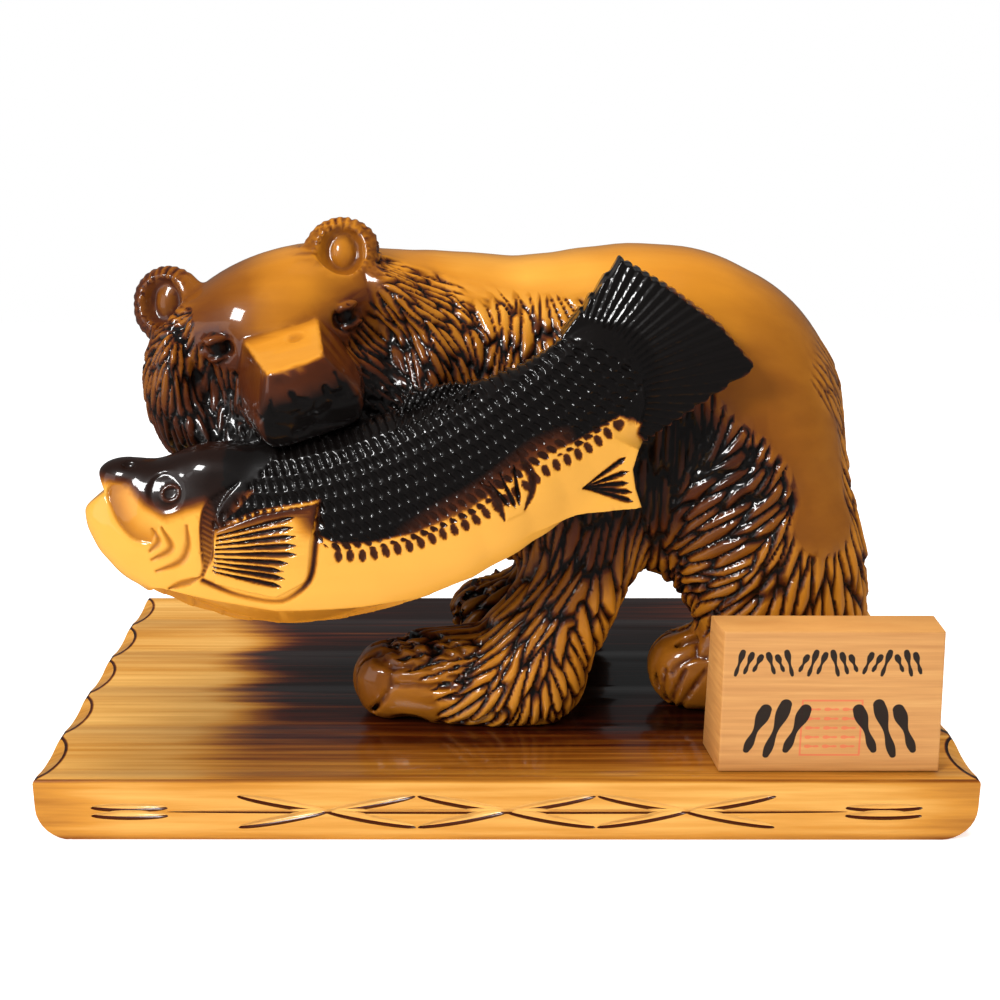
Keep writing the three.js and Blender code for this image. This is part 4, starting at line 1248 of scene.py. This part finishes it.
def block_piece():
    """The leaning block, with the distance to its ink and stamp at each point of the front."""
    low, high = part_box("name_block")
    piece = box_piece("name_block_wood", low, high)
    for vertex in piece.data.vertices:
        p = vertex.co
        at_back, at_top, at_left = p.y > low[1] + 1e-4, p.z > low[2] + 1e-4, p.x < low[0] + 1e-4
        if at_back and at_top:
            p.y = low[1] + BLOCK_TOP_DEPTH * MM
        if not at_left and at_top:
            p.x -= BLOCK_LEAN * MM
        if at_left and not at_back:
            p.x += BLOCK_SKEW * MM
    bevel_where(piece, lambda p: True, BLOCK_ROUND * MM, 2)
    select_where(piece, "FACE", lambda face: face.normal.y < -0.99 and face.calc_area() > 1e-3)
    bpy.ops.mesh.subdivide(number_cuts=100)
    bpy.ops.mesh.subdivide(number_cuts=1)
    bpy.ops.object.mode_set(mode="OBJECT")
    places = np.zeros(len(piece.data.vertices) * 3, np.float32)
    piece.data.vertices.foreach_get("co", places)
    places = places.reshape(-1, 3) / MM
    middle_x = (low[0] + high[0]) / 2 / MM + 1.0
    middle_z = (low[2] + high[2]) / 2 / MM
    ink, stamp = ink_marks(places[:, 0] - middle_x, places[:, 2] - middle_z)
    front = places[:, 1] < low[1] / MM + 0.05
    for key, value in (("ink", ink), ("stamp", stamp)):
        give(piece.data, key, np.where(front, value, 20.0))
    bpy.ops.object.shade_smooth_by_angle(angle=SHARP_ANGLE)
    return piece


# Finishes


class Tree:
    """The shader nodes of a material or of the world."""

    def __init__(self, owner):
        owner.use_nodes = True
        self.nodes = owner.node_tree.nodes
        self.links = owner.node_tree.links

    def calc(self, kind, *values):
        """A sum on values that change from place to place and on plain numbers."""
        node = self.nodes.new("ShaderNodeMath")
        node.operation = kind
        for socket, value in zip(node.inputs, values):
            if isinstance(value, (int, float)):
                socket.default_value = value
            else:
                self.links.new(value, socket)
        return node.outputs[0]

    def span(self, value, low, high, start=0.0, end=1.0):
        """Smooth step of a value from one range to another."""
        node = self.nodes.new("ShaderNodeMapRange")
        node.interpolation_type = "SMOOTHSTEP"
        for key, number in (("From Min", low), ("From Max", high), ("To Min", start), ("To Max", end)):
            node.inputs[key].default_value = number
        self.links.new(value, node.inputs["Value"])
        return node.outputs["Result"]

    def place(self):
        return self.nodes.new("ShaderNodeTexCoord").outputs["Object"]

    def axes(self):
        split = self.nodes.new("ShaderNodeSeparateXYZ")
        self.links.new(self.place(), split.inputs["Vector"])
        return split.outputs

    def marked(self, key):
        """A number that the piece carries at each point."""
        node = self.nodes.new("ShaderNodeAttribute")
        node.attribute_name = key
        return node.outputs["Fac"]

    def grain(self, scale, detail=4.0):
        """Noise drawn out along the board or the body, as wood grain is."""
        stretch = self.nodes.new("ShaderNodeMapping")
        stretch.inputs["Scale"].default_value = scale
        self.links.new(self.place(), stretch.inputs["Vector"])
        noise = self.nodes.new("ShaderNodeTexNoise")
        noise.inputs["Scale"].default_value = 1.0
        noise.inputs["Detail"].default_value = detail
        self.links.new(stretch.outputs["Vector"], noise.inputs["Vector"])
        return noise.outputs["Fac"]

    def ramp(self, value, stops):
        node = self.nodes.new("ShaderNodeValToRGB")
        while len(node.color_ramp.elements) < len(stops):
            node.color_ramp.elements.new(0.5)
        for element, (place, colour) in zip(node.color_ramp.elements, stops):
            element.position = place
            element.color = tuple(colour)
        self.links.new(value, node.inputs["Fac"])
        return node.outputs["Color"]

    def coated(self, colour, pores, strength, depth, values):
        """Joins a colour and fine pores to the shader, and sets its plain values."""
        shader = self.nodes["Principled BSDF"]
        self.links.new(colour, shader.inputs["Base Color"])
        bump = self.nodes.new("ShaderNodeBump")
        bump.inputs["Strength"].default_value = strength
        bump.inputs["Distance"].default_value = depth
        self.links.new(pores, bump.inputs["Height"])
        self.links.new(bump.outputs["Normal"], shader.inputs["Normal"])
        set_values(shader, values)


def set_values(shader, values):
    """Sets plain numbers and colours on a shader's sockets."""
    for key, value in values.items():
        shader.inputs[key].default_value = value


LACQUER = {"Roughness": 0.4, "Specular IOR Level": 0.12, "Coat Weight": 0.75, "Coat Roughness": 0.07}
VARNISH = {"Roughness": 0.3, "Specular IOR Level": 0.15, "Coat Weight": 0.6, "Coat Roughness": 0.12}
BARE_WOOD = {"Roughness": 0.55}
PALE_FLOOR = {
    "Base Color": (0.9, 0.9, 0.9, 1), "Roughness": 0.7, "Specular IOR Level": 0.1,
    "Emission Color": (1, 1, 1, 1), "Emission Strength": 0.6,
}
BOARD_STOPS = [
    (0.0, (0.90, 0.50, 0.13, 1)), (0.3, (0.60, 0.25, 0.03, 1)), (0.55, (0.26, 0.075, 0.006, 1)),
    (0.8, (0.07, 0.010, 0.002, 1)), (1.0, (0.012, 0.002, 0.001, 1)),
]
BLOCK_STOPS = [(0.25, (0.52, 0.22, 0.055, 1)), (0.6, (0.64, 0.30, 0.082, 1)), (0.8, (0.70, 0.36, 0.11, 1))]


def lacquered(name, stops, grain_share, bump_depth):
    """Wood coloured by its tone from pale to black, under a clear glossy coat; the tone is stain, with some
    painted shade and painted highlights.
    """
    material = bpy.data.materials.new(name)
    tree = Tree(material)
    shift = tree.calc("MULTIPLY_ADD", tree.grain((14, 90, 90)), grain_share, -0.5 * grain_share)
    tone = tree.calc("ADD", tree.marked("tone"), shift)
    tree.coated(tree.ramp(tone, stops), tree.grain((120, 420, 420), 3.0), 0.25, bump_depth, LACQUER)
    return material


def board_finish(name, tone_of):
    """Varnished wood, coloured by a tone from pale 0 to burnt 1; on the top the tone also holds a painted
    shadow.
    """
    material = bpy.data.materials.new(name)
    tree = Tree(material)
    colour = tree.ramp(tone_of(tree), BOARD_STOPS)
    tree.coated(colour, tree.grain((30, 700, 700), 3.0), 0.2, 0.0003, VARNISH)
    return material


def chip_line(tree, x, y, z):
    """A thin burnt line round the chips along the two ends, 1 on the line."""
    far = tree.calc("ADD", tree.calc("ABSOLUTE", x), -(CHIP_MIDDLE_X + SCALLOP_OUT) * MM)
    turn = tree.calc("MULTIPLY_ADD", y, 1 / (SCALLOP_PITCH * MM), 0.5)
    part = tree.calc("ADD", tree.calc("FRACT", turn), -0.5)
    rise = tree.calc("ADD", z, -SCALLOP_LEVEL * MM)
    sizes = (SCALLOP_HALVES[0] * MM, SCALLOP_HALVES[1] / SCALLOP_PITCH, SCALLOP_HALVES[2] * MM)
    total = 0.0
    for value, size in zip((far, part, rise), sizes):
        share = tree.calc("DIVIDE", value, size)
        total = tree.calc("MULTIPLY_ADD", share, share, total)
    return tree.span(total, 1.02, 1.06, 1.0, 0.0)


def burnt_and_shadowed_top(tree):
    """Honey at the ends, burnt in long streaks towards the middle, and darker still under the bear and the
    fish as a painted shadow that fades towards the front edge.
    """
    x, y, z = tree.axes()
    broad = tree.grain((4.0, 45, 10), 3.0)
    fine = tree.grain((7.0, 330, 10), 5.0)
    left = tree.span(tree.calc("MULTIPLY_ADD", broad, 0.07, x), -0.125, -0.075)
    right = tree.span(tree.calc("MULTIPLY_ADD", broad, -0.10, x), 0.02, 0.15, 1.0, 0.45)
    # painted shadow: darker towards the back, under the bear and the fish, paler towards the front edge
    front = tree.span(y, -0.110, -0.025, 0.34, 1.0)
    burn_and_shadow_mask = tree.calc("MULTIPLY", tree.calc("MULTIPLY", left, right), front)
    streak = tree.calc("MULTIPLY_ADD", fine, 0.9, -0.30)
    both = tree.calc("MULTIPLY_ADD", broad, 0.7, streak)
    # how dark the board gets from the burn and the painted shadow together
    dark = tree.calc("MULTIPLY_ADD", burn_and_shadow_mask, 0.74, 0.04)
    share = tree.calc("MULTIPLY_ADD", burn_and_shadow_mask, 0.6, 0.62)
    lift = tree.calc("MULTIPLY", tree.calc("ADD", both, -0.28), share)
    stain = tree.calc("ADD", dark, lift)
    return tree.calc("MULTIPLY_ADD", chip_line(tree, x, y, z), CHIP_LINE_STAIN, stain)


def pale_side(tree):
    """Pale wood, darker at the ends, along the foot and along the upper edge."""
    x, y, z = tree.axes()
    stain = tree.calc("MULTIPLY_ADD", tree.grain((12, 300, 260), 4.0), 0.5, -0.05)
    ends = tree.span(tree.calc("ABSOLUTE", x), 0.17, 0.215, 0.0, 0.16)
    foot = tree.span(z, 0.0, 0.004, 0.22, 0.0)
    edge = tree.span(z, 0.0284, 0.0298, 0.0, 0.3)
    for part in (ends, foot, edge):
        stain = tree.calc("ADD", stain, part)
    return tree.calc("MULTIPLY_ADD", chip_line(tree, x, y, z), CHIP_LINE_STAIN, stain)


def even_stain(scale, share, start):
    """A tone that varies only with the grain."""
    return lambda tree: tree.calc("MULTIPLY_ADD", tree.grain(scale), share, start)


def board_finishes():
    return (
        board_finish("burnt_and_shadowed_top", burnt_and_shadowed_top), board_finish("pale_side", pale_side),
        board_finish("burnt_outline", even_stain((40, 40, 40), 0.1, 0.8)),
        board_finish("scallop_cut", even_stain((60, 300, 60), 0.5, 0.02)),
        board_finish("fresh_cut", even_stain((20, 200, 200), 0.2, -0.06)),
    )


def plain_wood(colours):
    """Pale bare wood with ink and a red stamp."""
    material = bpy.data.materials.new("pale_block")
    tree = Tree(material)
    last = tree.ramp(tree.grain((18, 60, 520), 4.0), BLOCK_STOPS)
    for key, colour, share in (("stamp", colours.stamp, 0.62), ("ink", colours.ink, 0.97)):
        mix = tree.nodes.new("ShaderNodeMix")
        mix.data_type = "RGBA"
        tree.links.new(tree.span(tree.marked(key), 0.12, -0.12, 0.0, share), mix.inputs["Factor"])
        tree.links.new(last, mix.inputs["A"])
        mix.inputs["B"].default_value = tuple(colour)
        last = mix.outputs["Result"]
    shader = tree.nodes["Principled BSDF"]
    tree.links.new(last, shader.inputs["Base Color"])
    set_values(shader, BARE_WOOD)
    return material


class CarvingSizes(bpy.types.PropertyGroup):
    bear_step: FloatProperty(
        name="Bear step", description="Distance between points on the bear before thinning, in millimetres",
        default=1.1, min=0.8, max=3.0)
    salmon_step: FloatProperty(
        name="Salmon step", description="Distance between points on the salmon, in millimetres",
        default=0.64, min=0.5, max=2.0)
    triangles: IntProperty(
        name="Triangles", description="Most triangles on a carved piece",
        default=196000, min=20000, max=199000)
    fur_seed: IntProperty(name="Fur seed", description="Lays the locks of hair in another order", default=7)


class CarvingColours(bpy.types.PropertyGroup):
    honey: FloatVectorProperty(
        name="Honey", description="Bare lacquered wood", subtype="COLOR", size=4,
        default=(0.86, 0.42, 0.062, 1))
    amber: FloatVectorProperty(
        name="Amber", description="Light stain", subtype="COLOR", size=4, default=(0.55, 0.205, 0.014, 1))
    brown: FloatVectorProperty(
        name="Brown", description="Middle stain", subtype="COLOR", size=4, default=(0.25, 0.078, 0.005, 1))
    red_brown: FloatVectorProperty(
        name="Red brown", description="Dark stain", subtype="COLOR", size=4, default=(0.085, 0.018, 0.004, 1))
    black: FloatVectorProperty(
        name="Black", description="Darkest stain", subtype="COLOR", size=4,
        default=(0.004, 0.0028, 0.0025, 1))
    ink: FloatVectorProperty(
        name="Ink", description="Brushed strokes", subtype="COLOR", size=4, default=(0.008, 0.006, 0.006, 1))
    stamp: FloatVectorProperty(
        name="Stamp", description="Red stamp", subtype="COLOR", size=4, default=(0.75, 0.10, 0.04, 1))


def stain_stops(colours):
    """The stains in order, from bare wood to black."""
    return [
        (0.0, colours.honey), (0.28, colours.amber), (0.47, colours.brown), (0.68, colours.red_brown),
        (0.92, colours.black),
    ]


def carve(context, name, surface, finish, grain_share, bump_depth):
    """Makes a carved piece of the thinned surface, coloured by its tone: stain, with some painted shade and
    painted highlights.
    """
    piece = mesh_piece(name, *surface)
    thin_out(piece, context.scene.carving_sizes.triangles)
    stops = stain_stops(context.scene.carving_colours)
    piece.data.materials.append(lacquered(finish, stops, grain_share, bump_depth))
    keep(piece, "bear_with_salmon")


class CARVING_OT_bear(bpy.types.Operator):
    """Carve the bear"""

    bl_idname = "carving.bear"
    bl_label = "Bear"

    def execute(self, context):
        sizes = context.scene.carving_sizes
        surface = bear_surface(sizes.bear_step, BEAR_COARSE, sizes.fur_seed)
        carve(context, "carved_bear", surface, "stained_and_highlighted_bear", 0.10, 0.0004)
        return {"FINISHED"}


class CARVING_OT_salmon(bpy.types.Operator):
    """Carve the salmon in the bear's mouth"""

    bl_idname = "carving.salmon"
    bl_label = "Salmon"

    def execute(self, context):
        surface = salmon_surface(context.scene.carving_sizes.salmon_step, SALMON_COARSE)
        carve(context, "carved_salmon", surface, "stained_and_shaded_salmon", 0.05, 0.0002)
        return {"FINISHED"}


class CARVING_OT_board(bpy.types.Operator):
    """Saw, scallop and carve the board under the bear"""

    bl_idname = "carving.board"
    bl_label = "Board"

    def execute(self, context):
        keep(board_piece(board_finishes()), "plinth_board")
        return {"FINISHED"}


class CARVING_OT_name_block(bpy.types.Operator):
    """Saw the leaning block and brush the strokes on its front"""

    bl_idname = "carving.name_block"
    bl_label = "Name block"

    def execute(self, context):
        piece = block_piece()
        piece.data.materials.append(plain_wood(context.scene.carving_colours))
        keep(piece, "name_block")
        return {"FINISHED"}


ROOM_LIGHT = 0.12
FLOOR_SIZE = 2.4
CAMERA_PITCH = 73
LIGHTS = (
    ("key", (-0.85, -1.05, 1.1), (48, 0, -39), 0.4, 20),
    ("top", (0.1, 0.15, 1.5), (0, 0, 0), 0.7, 18),
    ("fill", (1.2, -0.8, 0.8), (62, 0, 58), 1.0, 5),
    ("side", (-1.3, -0.7, 0.35), (82, 0, -62), 0.9, 3),
)
MIRRORED_LIGHTS = ("key", "side")


class CARVING_OT_stage(bpy.types.Operator):
    """Set the floor, the lights and the camera"""

    bl_idname = "carving.stage"
    bl_label = "Stage"

    def execute(self, context):
        bpy.ops.object.select_all(action="DESELECT")
        bpy.ops.mesh.primitive_plane_add(size=FLOOR_SIZE)
        floor = context.object
        floor.name = "floor"
        material = bpy.data.materials.new("pale_floor")
        set_values(Tree(material).nodes["Principled BSDF"], PALE_FLOOR)
        floor.data.materials.append(material)
        floor.visible_glossy = False
        for name, place, turn, size, power in LIGHTS:
            light = bpy.data.lights.new(name, "AREA")
            light.size = size
            light.energy = power
            lamp = bpy.data.objects.new(name, light)
            lamp.location = place
            lamp.visible_glossy = name in MIRRORED_LIGHTS
            lamp.rotation_euler = [math.radians(a) for a in turn]
            context.scene.collection.objects.link(lamp)
        camera = bpy.data.cameras.new("camera")
        camera.lens = 54
        camera.sensor_width = 36
        eye = bpy.data.objects.new("camera", camera)
        eye.location = VIEWER * MM
        eye.rotation_euler = (math.radians(CAMERA_PITCH), 0, 0)
        context.scene.collection.objects.link(eye)
        context.scene.camera = eye
        world = bpy.data.worlds.new("studio")
        tree = Tree(world)
        sky = tree.nodes["Background"].inputs
        sky["Color"].default_value = (1, 1, 1, 1)
        seen = tree.nodes.new("ShaderNodeLightPath").outputs["Is Camera Ray"]
        tree.links.new(tree.span(seen, 0, 1, ROOM_LIGHT, 1.0), sky["Strength"])
        context.scene.world = world
        context.scene.view_settings.view_transform = "Standard"
        return {"FINISHED"}


class CARVING_PT_pieces(bpy.types.Panel):
    bl_idname = "CARVING_PT_pieces"
    bl_label = "Carving"
    bl_space_type = "VIEW_3D"
    bl_region_type = "UI"
    bl_category = "Carving"

    def draw(self, context):
        for cls in OPERATORS:
            self.layout.operator(cls.bl_idname)
        for group in (context.scene.carving_sizes, context.scene.carving_colours):
            box = self.layout.box()
            for key in group.__annotations__:
                box.prop(group, key)


OPERATORS = (CARVING_OT_bear, CARVING_OT_salmon, CARVING_OT_board, CARVING_OT_name_block, CARVING_OT_stage)
CLASSES = (CarvingSizes, CarvingColours, *OPERATORS, CARVING_PT_pieces)


def register():
    for cls in CLASSES:
        bpy.utils.register_class(cls)
    bpy.types.Scene.carving_sizes = PointerProperty(type=CarvingSizes)
    bpy.types.Scene.carving_colours = PointerProperty(type=CarvingColours)


def unregister():
    del bpy.types.Scene.carving_colours
    del bpy.types.Scene.carving_sizes
    for cls in reversed(CLASSES):
        bpy.utils.unregister_class(cls)


def main():
    register()
    bpy.ops.carving.bear()
    bpy.ops.carving.salmon()
    bpy.ops.carving.board()
    bpy.ops.carving.name_block()
    bpy.ops.carving.stage()


if __name__ == "__main__":
    main()
